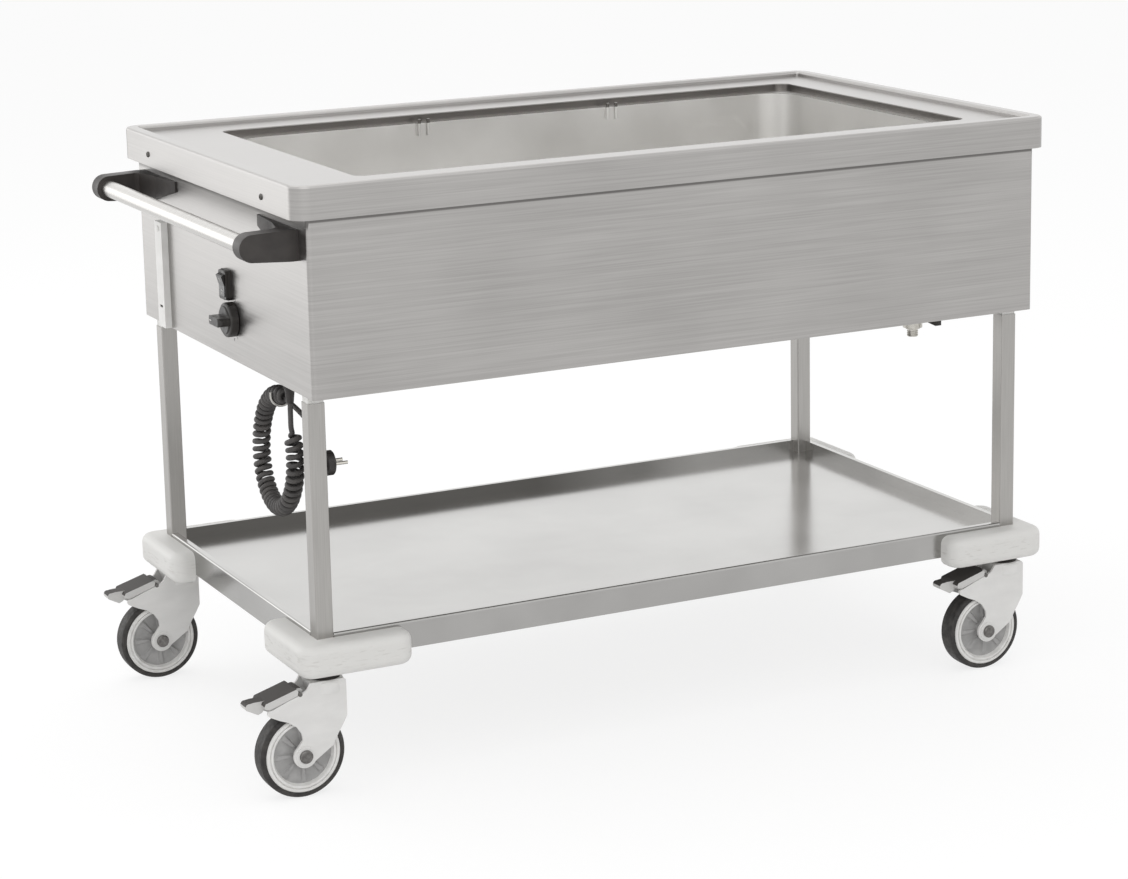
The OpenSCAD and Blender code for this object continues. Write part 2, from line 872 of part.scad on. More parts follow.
module shelf_channels() {
    under = shelf_top - sheet;
    foot = 14;
    color("silver") placed()
        for (sx = [-1, 1])
            translate([sx * channel_pitch / 2, 0, 0])
                side_profile(0, 2 * frame_y - 2 * shelf_rim - 4)
                    polygon([[-channel_w / 2, under], [-channel_w / 2, under - sheet],
                        [-channel_w / 2 + foot, under - sheet], [-channel_w / 2 + foot, under - channel_h],
                        [channel_w / 2 - foot, under - channel_h], [channel_w / 2 - foot, under - sheet],
                        [channel_w / 2, under - sheet], [channel_w / 2, under],
                        [channel_w / 2 - foot - sheet, under],
                        [channel_w / 2 - foot - sheet, under - channel_h + sheet],
                        [-channel_w / 2 + foot + sheet, under - channel_h + sheet],
                        [-channel_w / 2 + foot + sheet, under]]);
}

// BUMPERS

module bumper_section() {
    e = bumper_edge_r;
    polygon(concat([[-bumper_r, bumper_z]], arc(-e, bumper_z + e, e, -90, 0, 6),
        arc(-e, bumper_z + bumper_h - e, e, 0, 90, 6), [[-bumper_r, bumper_z + bumper_h]]));
}

// A block with round edges whose outer corner lies at the bumper's
module bumper_block(l, w) {
    translate([frame_x + bumper_reach - l / 2, frame_y + bumper_reach - w / 2, 0]) {
        swept(l, w, bumper_r)
            bumper_section();
        plate(bumper_z, bumper_h)
            square([l - 2 * bumper_r + 1, w - 2 * bumper_r + 1], center = true);
    }
}

module bumper(p) {
    depth = bumper_reach + bumper_r;
    color("#c9c8c6") placed()
        mirror([p[0] > 0 ? 0 : 1, 0, 0])
            mirror([0, p[1] > 0 ? 0 : 1, 0])
                difference() {
                    union() {
                        difference() {
                            union() {
                                bumper_block(bumper_arm_x, depth);
                                bumper_block(depth, bumper_arm_y);
                            }
                            translate([frame_x - bumper_arm_x, frame_y - bumper_arm_y, bumper_z - 1])
                                cube([bumper_arm_x, bumper_arm_y, bumper_h + 2]);
                        }
                        // Web on which the leg stands
                        translate([frame_x - web_s, frame_y - web_s, bumper_z])
                            cube([web_s + 1, web_s + 1, bumper_web]);
                    }
                    translate([leg_x, leg_y, bumper_z])
                        cylinder(d = stem_d + 2 * slide_gap, h = 4 * bumper_web, center = true, $fn = medium);
                }
}

// CASTORS

kingpin_head_h = 5;
kingpin_head_r = 10;
flange_r = 15;
boss_h = 2;

// The outlines of fork and pedal are drawn for a crown 166 high, and grow with it
castor_k = crown_z / 166;
pedal_x = -44 * castor_k;
pedal_z = 152 * castor_k;
pedal_hub_r = 7.5 * castor_k;
fork_round = 5 * castor_k;

module at_castor(p) {
    placed()
        translate([p[0] * leg_x, p[1] * leg_y, 0])
            children();
}

// Plug in the leg, stem and kingpin, with a head under the crown
module castor_heads() {
    plug_s = leg_s - 2 * leg_wall - 2 * seat_gap;
    web_low = crown_z - crown_t;
    color("silver")
        for (p = corners)
            at_castor(p) {
                plate(leg_foot, plug_in)
                    rounded(plug_s, plug_s, 1);
                translate([0, 0, crown_z + slide_gap])
                    cylinder(d = stem_d, h = leg_foot - crown_z - slide_gap, $fn = medium);
                translate([0, 0, bumper_z - 3])
                    cylinder(r = flange_r, h = 3, $fn = medium);
                translate([0, 0, web_low - slide_gap - kingpin_head_h])
                    cylinder(d = kingpin_d, h = crown_t + 2 * slide_gap + kingpin_head_h, $fn = medium);
                translate([0, 0, web_low - slide_gap - kingpin_head_h])
                    cylinder(r = kingpin_head_r, h = kingpin_head_h, $fn = medium);
            }
}

// Outline of a fork cheek in X and Z, with the swivel axis at X 0
module cheek_section() {
    front = crown_d / 2 - 3;
    translate([-trail, wheel_r])
        circle(d = boss_d, $fn = medium);
    polygon(concat(
        [[front, 112 * castor_k]],
        arc(front - fork_round, crown_z - fork_round, fork_round, 0, 90, 3),
        castor_k * [[-28, 166], [-34, 157], [-40, 153], [-64, 145]],
        arc(-87.5 * castor_k, 131.5 * castor_k, fork_round, 72, 250, 6),
        castor_k * [[-76, 120], [-63, 115], [-51, 106], [-44, 95], [-43, 86]],
        [[-trail - boss_d / 2 + 1, wheel_r + 6], [-trail, wheel_r], [-trail + boss_d / 2 - 4, wheel_r - 10]],
        castor_k * [[2, 72], [10, 88], [17, 99]]));
}

module fork(p) {
    web_low = crown_z - crown_t;
    color("#b9b9b7") at_castor(p)
        difference() {
            union() {
                side_profile(0, 2 * fork_out)
                    cheek_section();
                translate([0, 0, web_low])
                    rotate_extrude($fn = fine)
                        polygon(concat([[0, 0], [crown_d / 2, 0]],
                            arc(crown_d / 2 - fork_round, crown_t - fork_round, fork_round, 0, 90, 4),
                            [[0, crown_t]]));
                for (sy = [-1, 1])
                    along_y(-trail, sy * (fork_out + boss_h / 2 - 0.5), wheel_r, boss_d / 2 - 3, boss_h + 1);
            }
            // Room for the wheel between the cheeks
            side_profile(0, 2 * fork_in)
                polygon([[-trail - wheel_r - 40, 0], [trail, 0], [trail, web_low],
                    [-20, web_low], [-20, web_low - 2], [-32, crown_z + 10], [-trail - wheel_r - 40, crown_z + 10]]);
            cylinder(r = kingpin_d / 2 + run_gap, h = 2 * crown_z, $fn = medium);
            along_y(-trail, 0, wheel_r, axle_d / 2 + run_gap, 4 * fork_out);
            along_y(pedal_x, 0, pedal_z, pedal_pin_d / 2 + run_gap, 4 * fork_out);
        }
}

// Axle bolt with its head and nut, and the pin that carries the brake pedal
module axle(p) {
    half = fork_out + boss_h;
    color("silver") at_castor(p) {
        along_y(-trail, 0, wheel_r, axle_d / 2, 2 * half + 2);
        for (sy = [-1, 1])
            translate([-trail, sy * half, wheel_r])
                rotate([-sy * 90, 0, 0])
                    rotate_extrude($fn = medium)
                        polygon([[0, 0], [9.5, 0], [9.5, 2.4], [7.6, 4], [0, 4]]);
        along_y(pedal_x, 0, pedal_z, pedal_pin_d / 2, 2 * fork_out);
    }
}

// Moulded core: hub, dished web and a raised rim band
module wheel(p) {
    half = wheel_w / 2;
    hub_half = fork_in - 0.5;
    hub_r = axle_d / 2 + 6;
    color("#8b8c8e") at_castor(p)
        translate([-trail, 0, wheel_r])
            rotate([90, 0, 0])
                difference() {
                    rotate_extrude($fn = fine)
                        polygon([[0, -hub_half], [hub_r, -hub_half], [hub_r + 2, -half + 6],
                            [rim_r - 12, -half + 5], [rim_r - 10, -half + 1.5], [rim_r - 8.5, -half],
                            [rim_r - 1, -half], [rim_r, -half + 1.5],
                            [rim_r, half - 1.5], [rim_r - 1, half], [rim_r - 8.5, half],
                            [rim_r - 10, half - 1.5], [rim_r - 12, half - 5],
                            [hub_r + 2, half - 6], [hub_r, hub_half], [0, hub_half]]);
                    cylinder(r = axle_d / 2 + run_gap, h = 4 * half, center = true, $fn = fine);
                }
}

module tyre(p) {
    half = wheel_w / 2 - 1;
    color("#221f1f") at_castor(p)
        translate([-trail, 0, wheel_r])
            rotate([90, 0, 0])
                rotate_extrude($fn = fine)
                    polygon(concat([[rim_r + run_gap, -half + 1], [rim_r + 1.5, -half]],
                        arc(wheel_r - 5, -half + 5, 5, -90, -20, 4), [[wheel_r, -half / 3], [wheel_r, half / 3]],
                        arc(wheel_r - 5, half - 5, 5, 20, 90, 4),
                        [[rim_r + 1.5, half], [rim_r + run_gap, half - 1]]));
}

// Foot lever: a cap over the cheeks with a tip for the foot, and a shoe just clear of the tyre
module pedal(p) {
    tip_r = 5.5 * castor_k;
    color("#6b6c70") at_castor(p)
        difference() {
            union() {
                side_profile(0, pedal_w) {
                    translate([pedal_x, pedal_z])
                        circle(r = pedal_hub_r, $fn = medium);
                    polygon(castor_k * [[-44, 159.4], [-66, 153], [-72, 141], [-62, 120], [-46, 120], [-44, 144.6]]);
                }
                side_profile(0, 2 * fork_out)
                    polygon(castor_k * [[-48, 151.2], [-64, 145.8], [-88, 138], [-95, 138.5], [-97, 143], [-95, 147],
                        [-68, 155], [-50, 160.5], [-47.4, 159], [-47, 156]]);
                side_profile(0, tip_w)
                    polygon(concat(castor_k * [[-90, 148], [-108, 147.6]],
                        arc(tip_r - pedal_reach, 141.5 * castor_k, tip_r, 75, 225, 5),
                        castor_k * [[-102, 129], [-96, 131.5], [-90, 140]]));
            }
            along_y(-trail, 0, wheel_r, wheel_r + shoe_gap, 2 * pedal_w);
            along_y(pedal_x, 0, pedal_z, pedal_pin_d / 2 + run_gap, 2 * pedal_w);
        }
}

// DRAIN

valve_z = housing_z - 24;
ball_r = 11;
valve_r = 15;
neck_z = valve_z + 13;
tail_top = valve_z - 14;

module drain_pipe() {
    color("silver") placed()
        translate([drain_x, drain_y, neck_z])
            difference() {
                cylinder(d = drain_d, h = floor_z - sheet - neck_z, $fn = medium);
                translate([0, 0, -1])
                    cylinder(d = drain_bore, h = floor_z, $fn = medium);
            }
}

// Ball valve with two flats for a spanner and a hose tail
module valve_body() {
    color("#cfcfcd") placed()
        translate([drain_x, drain_y, 0])
            difference() {
                union() {
                    translate([0, 0, valve_z - 12])
                        cylinder(r = valve_r, h = 24, $fn = medium);
                    translate([0, 0, valve_z + 11])
                        cylinder(r = drain_d / 2 + 4, h = 11, $fn = 6);
                    translate([0, 0, tail_top])
                        cylinder(r = tail_d / 2 + 4, h = 6, $fn = 6);
                    translate([0, 0, tail_top - tail_l])
                        cylinder(d = tail_d, h = tail_l + 1, $fn = medium);
                    translate([0, 0, valve_z])
                        rotate([0, 90, 0])
                            cylinder(r = 7, h = valve_r + 4, $fn = medium);
                }
                translate([0, 0, neck_z])
                    cylinder(d = drain_d + 2 * run_gap, h = 40, $fn = medium);
                translate([0, 0, valve_z])
                    cylinder(d = drain_bore - 4, h = 40, $fn = medium);
                translate([0, 0, tail_top - tail_l - 1])
                    cylinder(d = tail_d - 4, h = 40, $fn = medium);
                translate([0, 0, valve_z])
                    sphere(r = ball_r + run_gap, $fn = medium);
                translate([0, 0, valve_z])
                    rotate([0, 90, 0])
                        cylinder(r = 4 + run_gap, h = 40, $fn = medium);
            }
}

// The ball is shut at rest, with its bore across the pipe
module valve_ball() {
    color("silver") placed()
        translate([drain_x, drain_y, valve_z])
            difference() {
                sphere(r = ball_r, $fn = medium);
                rotate([90, 0, 0])
                    cylinder(r = 6, h = 3 * ball_r, center = true, $fn = medium);
                translate([ball_r, 0, 0])
                    cube([6, 40, 4], center = true);
            }
}

module valve_lever() {
    hub = 6;
    color("#23201f") placed()
        translate([drain_x, drain_y, valve_z]) {
            translate([ball_r - 3 + seat_gap, -2, -2 + seat_gap])
                cube([4, 4, 4 - 2 * seat_gap]);
            translate([ball_r + seat_gap, 0, 0])
                rotate([0, 90, 0])
                    cylinder(r = 4, h = valve_r + 5 - ball_r, $fn = medium);
            translate([valve_r + 4 + slide_gap, 0, 0])
                rotate([0, 90, 0]) {
                    cylinder(r = 8, h = hub, $fn = medium);
                    plate(0, hub - 1)
                        polygon([[-5, 0], [-5, -10], [-7, -lever_l + 8], [-5, -lever_l], [5, -lever_l],
                            [7, -lever_l + 8], [5, -10], [5, 0]]);
                }
        }
}

// CORD

curl_r = (curl_d - cord_d) / 2;
loop_y = -leg_y + 134;
loop_z = housing_z - 109;
loop_lean = 8;
loop_from = 150;
loop_to = 465;
loop_x0 = -leg_x - 6;
loop_x1 = -leg_x + 3;
curl_rings = 8;
steps = curls * curl_rings;

// Route of the curls: once round a leaning loop, drifting sideways so that its ends pass each other
function loop_angle(t) = loop_from + (loop_to - loop_from) * t;
function loop_point(t) = let (a = loop_angle(t))
    [loop_x0 + (loop_x1 - loop_x0) * t,
    loop_y + loop_ry * cos(a) - loop_lean * sin(a), loop_z + loop_rz * sin(a)];
function unit(v) = v / norm(v);
function loop_dir(t) = let (a = loop_angle(t))
    unit([(loop_x1 - loop_x0) / ((loop_to - loop_from) * PI / 180),
    -loop_ry * sin(a) - loop_lean * cos(a), loop_rz * cos(a)]);
function loop_out(t) = let (n = [0, cos(loop_angle(t)), sin(loop_angle(t))], d = loop_dir(t))
    unit(n - (n * d) * d);
function ease(s) = s * s * (3 - 2 * s);
function curl_size(t) = curl_r * ease(min(1, t * curls, (1 - t) * curls));
function curl_dir(t) = let (n = loop_out(t), b = cross(loop_dir(t), n), a = 360 * curls * t)
    cos(a) * n + sin(a) * b;
function curl_point(t) = loop_point(t) + curl_size(t) * curl_dir(t);

// A ring of points round a centre, square to a direction, its first point towards the side
function ring_at(c, d, side, r, n) = let (u = unit(side - (side * d) * d), v = cross(d, u))
    [for (i = [0 : n - 1]) c + r * (cos(360 * i / n) * u + sin(360 * i / n) * v)];

function curl_ring(k) = let (t = k / steps, e = 0.1 / steps,
    d = k == 0 ? loop_dir(0) : k == steps ? loop_dir(1) : unit(curl_point(t + e) - curl_point(t - e)))
    ring_at(curl_point(t), d, curl_dir(t), cord_d / 2, 6);

coil_start = loop_point(0) - cord_d * loop_dir(0);
coil_end = loop_point(1) + cord_d * loop_dir(1);
coil_rings = concat(
    [ring_at(coil_start, loop_dir(0), curl_dir(0), cord_d / 2, 6)],
    [for (k = [0 : steps]) curl_ring(k)],
    [ring_at(coil_end, loop_dir(1), curl_dir(1), cord_d / 2, 6)]);

// Least gap between turns, measured between points on the cord's centre line
coil_line = [for (k = [0 : steps]) curl_point(k / steps)];
coil_gap = min([for (i = [0 : steps - 5])
    min([for (j = [i + 5 : steps]) norm(coil_line[i] - coil_line[j])])])
    - cord_d;
echo(least_gap_between_curls = coil_gap);  // cord_coil

// A closed tube through a list of rings, with triangles for faces
module tube_through(rings) {
    n = len(rings[0]);
    m = len(rings);
    polyhedron(
        points = [for (ring = rings, q = ring) q],
        faces = concat(
            [for (i = [1 : n - 2]) [0, i, i + 1]],
            [for (i = [1 : n - 2]) [(m - 1) * n, (m - 1) * n + i + 1, (m - 1) * n + i]],
            [for (k = [0 : m - 2], i = [0 : n - 1]) [k * n + i, (k + 1) * n + i, (k + 1) * n + (i + 1) % n]],
            [for (k = [0 : m - 2], i = [0 : n - 1])
                [k * n + i, (k + 1) * n + (i + 1) % n, k * n + (i + 1) % n]]),
        convexity = 10);
}

// A cord's rings along a route, square to it, with set directions at both ends
function route_rings(route, from, to) = [for (i = [0 : len(route) - 1])
    ring_at(route[i], i == 0 ? from : i == len(route) - 1 ? to : unit(route[i + 1] - route[i - 1]),
        [1, 0, 0], cord_d / 2, 10)];

gland_x = -leg_x - 3;
gland_y = -leg_y + 78.5;
gland_thread_r = 8;
gland_nut_r = 10;
gland_l = 29;
lead_start = [gland_x, gland_y, housing_z - gland_l];
lead_route = [lead_start, lead_start - [0.5, 1, 8], lead_start - [1.5, 3.5, 18], coil_start];

plug_x = -leg_x + 13;
plug_y = -leg_y + 34;
plug_z = loop_z;
plug_at = [plug_x, plug_y, plug_z];
plug_back_r = 14;
boot_l = 38;
boot_tilt = 15;
boot_dir = [0, sin(boot_tilt), cos(boot_tilt)];
tail_route = [coil_end, plug_at + [-7, 50.5, 72], plug_at + [-5, 34.5, 67], plug_at + [-3, 25, 62],
    plug_at + [-1.5, 16.5, 53], plug_at + (boot_l + 7) * boot_dir, plug_at + boot_l * boot_dir];

module cord_lead() {
    color("#2a2627") placed()
        tube_through(route_rings(lead_route, [0, 0, -1], loop_dir(0)));
}

module cord_coil() {
    color("#2a2627") placed()
        tube_through(coil_rings);
}

module cord_tail() {
    color("#2a2627") placed()
        tube_through(route_rings(tail_route, loop_dir(1), -boot_dir));
}

// Gland in the base with a tapered bend protector
module cable_gland() {
    color("#2b2829") placed() translate([gland_x, gland_y, 0]) {
        translate([0, 0, housing_z])
            cylinder(r = gland_thread_r, h = sheet + 8, $fn = medium);
        translate([0, 0, base_top + 0.5])
            cylinder(r = gland_nut_r, h = 5, $fn = 6);
        translate([0, 0, housing_z - 7])
            cylinder(r = gland_nut_r, h = 7, $fn = 6);
        translate([0, 0, housing_z - gland_l])
            rotate_extrude($fn = medium)
                polygon([[0, 0], [cord_d / 2 + 1, 0], [cord_d / 2 + 1.6, 2], [gland_thread_r - 0.5, gland_l - 6],
                    [0, gland_l - 6]]);
    }
}

// Angled plug: round face with two pins, a narrower back, and a tapered boot for the cord
module plug() {
    face_x = plug_x + 25;
    r = plug_d / 2;
    color("#262324") placed() {
        difference() {
            translate([face_x, plug_y, plug_z])
                rotate([0, -90, 0])
                    rotate_extrude($fn = fine)
                        polygon(concat([[0, 0], [r - 1, 0], [r, 1], [r, 11], [r - 3, 15], [plug_back_r, 16.5]],
                            arc(plug_back_r - 6, 25, 6, 0, 90, 4), [[0, 31]]));
            // Finger grooves at the front and the rear of the face
            for (sy = [-1, 1])
                translate([face_x - 6, plug_y + sy * (r + 6), plug_z])
                    cylinder(r = 7.5, h = 2 * plug_d, center = true, $fn = coarse);
        }
        translate([plug_x, plug_y, plug_z])
            rotate([-boot_tilt, 0, 0])
                rotate_extrude($fn = medium)
                    polygon([[0, 8], [7, 8], [7, 17], [6.2, 22], [cord_d / 2 + 1, boot_l], [0, boot_l]]);
        for (sy = [-1, 1])
            translate([face_x - 1, plug_y + sy * 9.5, plug_z])
                rotate([0, 90, 0])
                    cylinder(d = 4.8, h = plug_pin_l + 1, $fn = coarse);
    }
}

// Clip behind the leg: a plate with a half ring that cradles the back of the plug
module plug_clip() {
    t = 2.5;
    leg_face = -frame_y + leg_s;
    r = plug_back_r + slide_gap;
    ring_x = plug_x;
    ring_l = 7;
    color("#3a3637") placed() {
        translate([-frame_x + 6, leg_face, plug_z - 8])
            cube([ring_x + ring_l + frame_x - 6, t, 16]);
        translate([ring_x, leg_face, plug_z - 3])
            cube([ring_l, plug_y - r - t / 2 - leg_face, 3]);
        translate([ring_x, plug_y, plug_z])
            rotate([90, 180, 90])
                rotate_extrude(angle = 180, $fn = fine)
                    translate([r, 0])
                        square([t, ring_l]);
    }
}

// Rod hook under the base that carries the top of the loop
module cord_hook() {
    rod_r = 2;
    turn = (90 - loop_from + 360) / (loop_to - loop_from);
    top = loop_point(turn);
    r = curl_d / 2 + slide_gap + rod_r;
    color("silver") placed() {
        translate([top[0], top[1], top[2]])
            rotate([90, 180, 0])
                rotate_extrude(angle = 180, $fn = fine)
                    translate([r, 0])
                        circle(r = rod_r, $fn = coarse);
        translate([top[0] + r, top[1], top[2]])
            cylinder(r = rod_r, h = housing_z - top[2], $fn = coarse);
        translate([top[0] - r, top[1], top[2]])
            cylinder(r = rod_r, h = 5, $fn = coarse);
        translate([top[0] + r, top[1], housing_z - 2])
            cylinder(r = 8, h = 2, $fn = coarse);
    }
}

top_frame();
well_tub();
bar_guides();
housing_jacket();
base_panel();
channel_cover();
lip_screws();
well_lagging();
heating_element();
thermostat_body();
terminal_box();
thermostat_knob();
switch_frame();
switch_rocker();
handle_tube();
handle_bracket(-1);  // handle_bracket_front
handle_bracket(1);  // handle_bracket_rear
leg(front_left);  // leg_front_left
leg(rear_left);  // leg_rear_left
leg(front_right);  // leg_front_right
leg(rear_right);  // leg_rear_right
leg_spacers();
shelf_tray();
shelf_channels();
bumper(front_left);  // bumper_front_left
bumper(rear_left);  // bumper_rear_left
bumper(front_right);  // bumper_front_right
bumper(rear_right);  // bumper_rear_right
castor_heads();
fork(front_left);  // fork_front_left
axle(front_left);  // axle_front_left
wheel(front_left);  // wheel_front_left
tyre(front_left);  // tyre_front_left
pedal(front_left);  // pedal_front_left
fork(rear_left);  // fork_rear_left
axle(rear_left);  // axle_rear_left
wheel(rear_left);  // wheel_rear_left
tyre(rear_left);  // tyre_rear_left
pedal(rear_left);  // pedal_rear_left
fork(front_right);  // fork_front_right
axle(front_right);  // axle_front_right
wheel(front_right);  // wheel_front_right
tyre(front_right);  // tyre_front_right
pedal(front_right);  // pedal_front_right
fork(rear_right);  // fork_rear_right
axle(rear_right);  // axle_rear_right
wheel(rear_right);  // wheel_rear_right
tyre(rear_right);  // tyre_rear_right
pedal(rear_right);  // pedal_rear_right
drain_pipe();
valve_body();
valve_ball();
valve_lever();
cable_gland();
cord_lead();
cord_coil();
cord_tail();
plug();
plug_clip();
cord_hook();
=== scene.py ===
"""Materials, fine pieces and light for the heated food trolley, in the part's frame, in metres."""

import math

import bpy
import numpy as np
from mathutils import Matrix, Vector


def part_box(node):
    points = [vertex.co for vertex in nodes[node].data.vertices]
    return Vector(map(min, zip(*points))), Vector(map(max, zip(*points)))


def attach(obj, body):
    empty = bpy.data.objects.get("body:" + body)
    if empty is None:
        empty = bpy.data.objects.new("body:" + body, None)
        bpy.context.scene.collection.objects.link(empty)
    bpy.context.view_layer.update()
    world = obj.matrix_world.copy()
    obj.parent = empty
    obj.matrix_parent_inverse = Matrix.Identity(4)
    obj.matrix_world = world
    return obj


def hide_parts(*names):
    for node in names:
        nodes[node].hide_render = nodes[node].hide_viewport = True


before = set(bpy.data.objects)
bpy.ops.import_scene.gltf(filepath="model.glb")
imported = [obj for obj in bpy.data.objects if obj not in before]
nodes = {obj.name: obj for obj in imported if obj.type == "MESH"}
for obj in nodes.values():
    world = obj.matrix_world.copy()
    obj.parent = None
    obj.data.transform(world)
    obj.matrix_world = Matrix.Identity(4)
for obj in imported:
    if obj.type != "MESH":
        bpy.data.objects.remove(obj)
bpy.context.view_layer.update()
MM = 0.001

# CAMERA
# The photograph was taken with a long lens from the front, a little left of the push handle's
# end and above the rim, so verticals nearly stay parallel and the deck shows as a narrow band.

camera_data = bpy.data.cameras.new("camera")
camera_data.lens = 94.8
camera_data.sensor_width = 36.0
camera_data.shift_y = -0.080
camera = bpy.data.objects.new("camera", camera_data)
camera.location = (-1.962, -3.972, 1.467)
camera.rotation_euler = tuple(math.radians(a) for a in (77.834, 1.172, -26.560))
bpy.context.scene.collection.objects.link(camera)
bpy.context.scene.camera = camera
bpy.context.scene.view_settings.view_transform = "Standard"


# FLOOR AND ROOM
# A seamless white paper floor in a pale room. The floor runs out to white and keeps a faint
# shadow, and polished metal sees the same paper.


def linear(code):
    """Turns an sRGB hex colour into linear red, green, blue and alpha, by the sRGB curve."""
    s = np.array([int(code[i : i + 2], 16) for i in (1, 3, 5)]) / 255
    low, high = s / 12.92, ((s + 0.055) / 1.055) ** 2.4
    return (*np.where(s <= 0.04045, low, high).tolist(), 1.0)


def add(tree, kind, links=None, **settings):
    """Adds a node, sets its settings, then links or sets its inputs by name or number."""
    made = tree.nodes.new(kind)
    for key, value in settings.items():
        setattr(made, key, value)
    for key, value in (links or {}).items():
        if isinstance(value, bpy.types.NodeSocket):
            tree.links.new(value, made.inputs[key])
        else:
            made.inputs[key].default_value = value
    return made


def calc(tree, operation, *values):
    """The result of a Math node on one to three values."""
    return add(tree, "ShaderNodeMath", dict(enumerate(values)), operation=operation).outputs[0]


def spread(tree, value, low, high, start=0.3, end=0.7):
    """Maps start to end onto low to high, and holds the ends beyond that. Noise values lie mostly
    between 0.3 and 0.7."""
    return add(tree, "ShaderNodeMapRange", {"Value": value, "From Min": start, "From Max": end,
                                            "To Min": low, "To Max": high}).outputs[0]


def blend(tree, share, first, second):
    """The colour that lies share of the way from first to second."""
    return add(tree, "ShaderNodeMix", {"Factor": share, 6: first, 7: second}, data_type="RGBA").outputs[2]


def xyz(tree, kind, output):
    """X, Y and Z of the vector that a node of one kind gives at its named output."""
    return add(tree, "ShaderNodeSeparateXYZ", {0: add(tree, kind).outputs[output]}).outputs


def seen_directly(tree):
    """1 for rays that come from the camera, from a reflection or through glass, and otherwise 0."""
    path = add(tree, "ShaderNodeLightPath").outputs
    either = calc(tree, "MAXIMUM", path["Is Camera Ray"], path["Is Glossy Ray"])
    return calc(tree, "MAXIMUM", either, path["Is Transmission Ray"])


floor_half = 30.0
floor_mesh = bpy.data.meshes.new("floor")
floor_corners = [(x * floor_half, y * floor_half, 0) for x, y in ((-1, -1), (1, -1), (1, 1), (-1, 1))]
floor_mesh.from_pydata(floor_corners, [], [(0, 1, 2, 3)])
floor = bpy.data.objects.new("floor", floor_mesh)
bpy.context.scene.collection.objects.link(floor)

paper = bpy.data.materials.new("studio_paper")
paper.use_nodes = True
tree = paper.node_tree
tree.nodes.clear()
# Seen directly, 72 % of the paper's tone is plain white, and the rest is lit and takes the shadow
matt = add(tree, "ShaderNodeBsdfDiffuse", {"Color": linear("#F6F6F6")})
white = add(tree, "ShaderNodeEmission", {"Color": (1, 1, 1, 1), "Strength": 1.08})
share = calc(tree, "MULTIPLY", seen_directly(tree), 0.72)
mixed = add(tree, "ShaderNodeMixShader", {0: share, 1: matt.outputs[0], 2: white.outputs[0]})
add(tree, "ShaderNodeOutputMaterial", {"Surface": mixed.outputs[0]})
floor_mesh.materials.append(paper)

world = bpy.data.worlds.new("studio")
bpy.context.scene.world = world
world.use_nodes = True
tree = world.node_tree
tree.nodes.clear()
# The room is white, and a little dimmer up in front, on the camera's side. What it adds to matt
# surfaces is 60 % of what the camera and polished metal see of it
direction = xyz(tree, "ShaderNodeTexCoord", "Generated")
raised = spread(tree, direction["Z"], 0, 1, 0.03, 0.3)
forward = spread(tree, direction["Y"], 0, 1, 0.15, -0.45)
room = blend(tree, calc(tree, "MULTIPLY", raised, forward), (1.4, 1.4, 1.4, 1), (1.36, 1.36, 1.36, 1))
level = spread(tree, seen_directly(tree), 0.6, 1, 0, 1)
# At the horizon it is as bright as the far floor, so that no line shows between them. Higher up it
# is dimmer, so that bright metal seen from above keeps its grey
level = calc(tree, "MULTIPLY", level, spread(tree, direction["Z"], 0.72, 1, 0, 0.1))
level = calc(tree, "MULTIPLY", level, spread(tree, direction["Z"], 1, 0.82, 0.3, 0.6))
sky = add(tree, "ShaderNodeBackground", {"Color": room, "Strength": level})
add(tree, "ShaderNodeOutputWorld", {"Surface": sky.outputs[0]})


def softbox(name, place, aim, size, watts):
    """A rectangular area lamp at place, turned to face aim, whose light has no hard edge."""
    lamp = bpy.data.lights.new(name, "AREA")
    lamp.shape = "RECTANGLE"
    lamp.size, lamp.size_y = size
    lamp.energy = watts
    holder = bpy.data.objects.new(name, lamp)
    back = np.array(place, float) - np.array(aim, float)
    across = np.cross([0, 0, 1], back)
    across /= np.linalg.norm(across)
    back /= np.linalg.norm(back)
    up = np.cross(back, across)
    turn = np.eye(4)
    turn[:3, 0], turn[:3, 1], turn[:3, 2], turn[:3, 3] = across, up, back, place
    holder.matrix_world = Matrix(turn.tolist())
    holder.visible_camera = False
    bpy.context.scene.collection.objects.link(holder)


softbox("softbox_front", (-1.5, -4.4, 3.2), (0, 0, 0.4), (5.4, 5.0), 45)
softbox("softbox_overhead", (-0.6, 0.9, 4.2), (0, 0, 0.5), (5.0, 5.0), 50)
softbox("softbox_left", (-2.3, 2.5, 0.85), (-0.5, 0, 0.65), (2.0, 1.6), 12)


# CURLED CORD
# The mains lead is one length of black rubber-sheathed cable. Its middle is wound into tight
# curls while hot, and they hang from a rod hook as an upright loop beside the left front leg.


def unit(v):
    """Each vector divided by its own length."""
    return v / np.linalg.norm(v, axis=-1, keepdims=True)


def middle(node):
    """The middle of a CAD node's box."""
    return [(low + high) / 2 for low, high in zip(*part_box(node))]


def through(points, start, finish, count):
    """A smooth line through points, with count steps from each to the next: cubic Hermite pieces.
    The slope at a point runs along the chord between its neighbours, and start and finish give
    the directions at the two ends."""
    p = np.array(points, float)
    step = np.linalg.norm(np.diff(p, axis=0), axis=1)
    slope = np.empty_like(p)
    slope[1:-1] = unit(p[2:] - p[:-2])
    slope[0], slope[-1] = start, finish
    n = np.arange((len(p) - 1) * count + 1)
    k = np.minimum(n // count, len(p) - 2)
    s = (n / count - k)[:, None]
    chord = step[k][:, None]
    return ((2 * s**3 - 3 * s**2 + 1) * p[k] + (s**3 - 2 * s**2 + s) * chord * slope[k]
            + (3 * s**2 - 2 * s**3) * p[k + 1] + (s**3 - s**2) * chord * slope[k + 1])


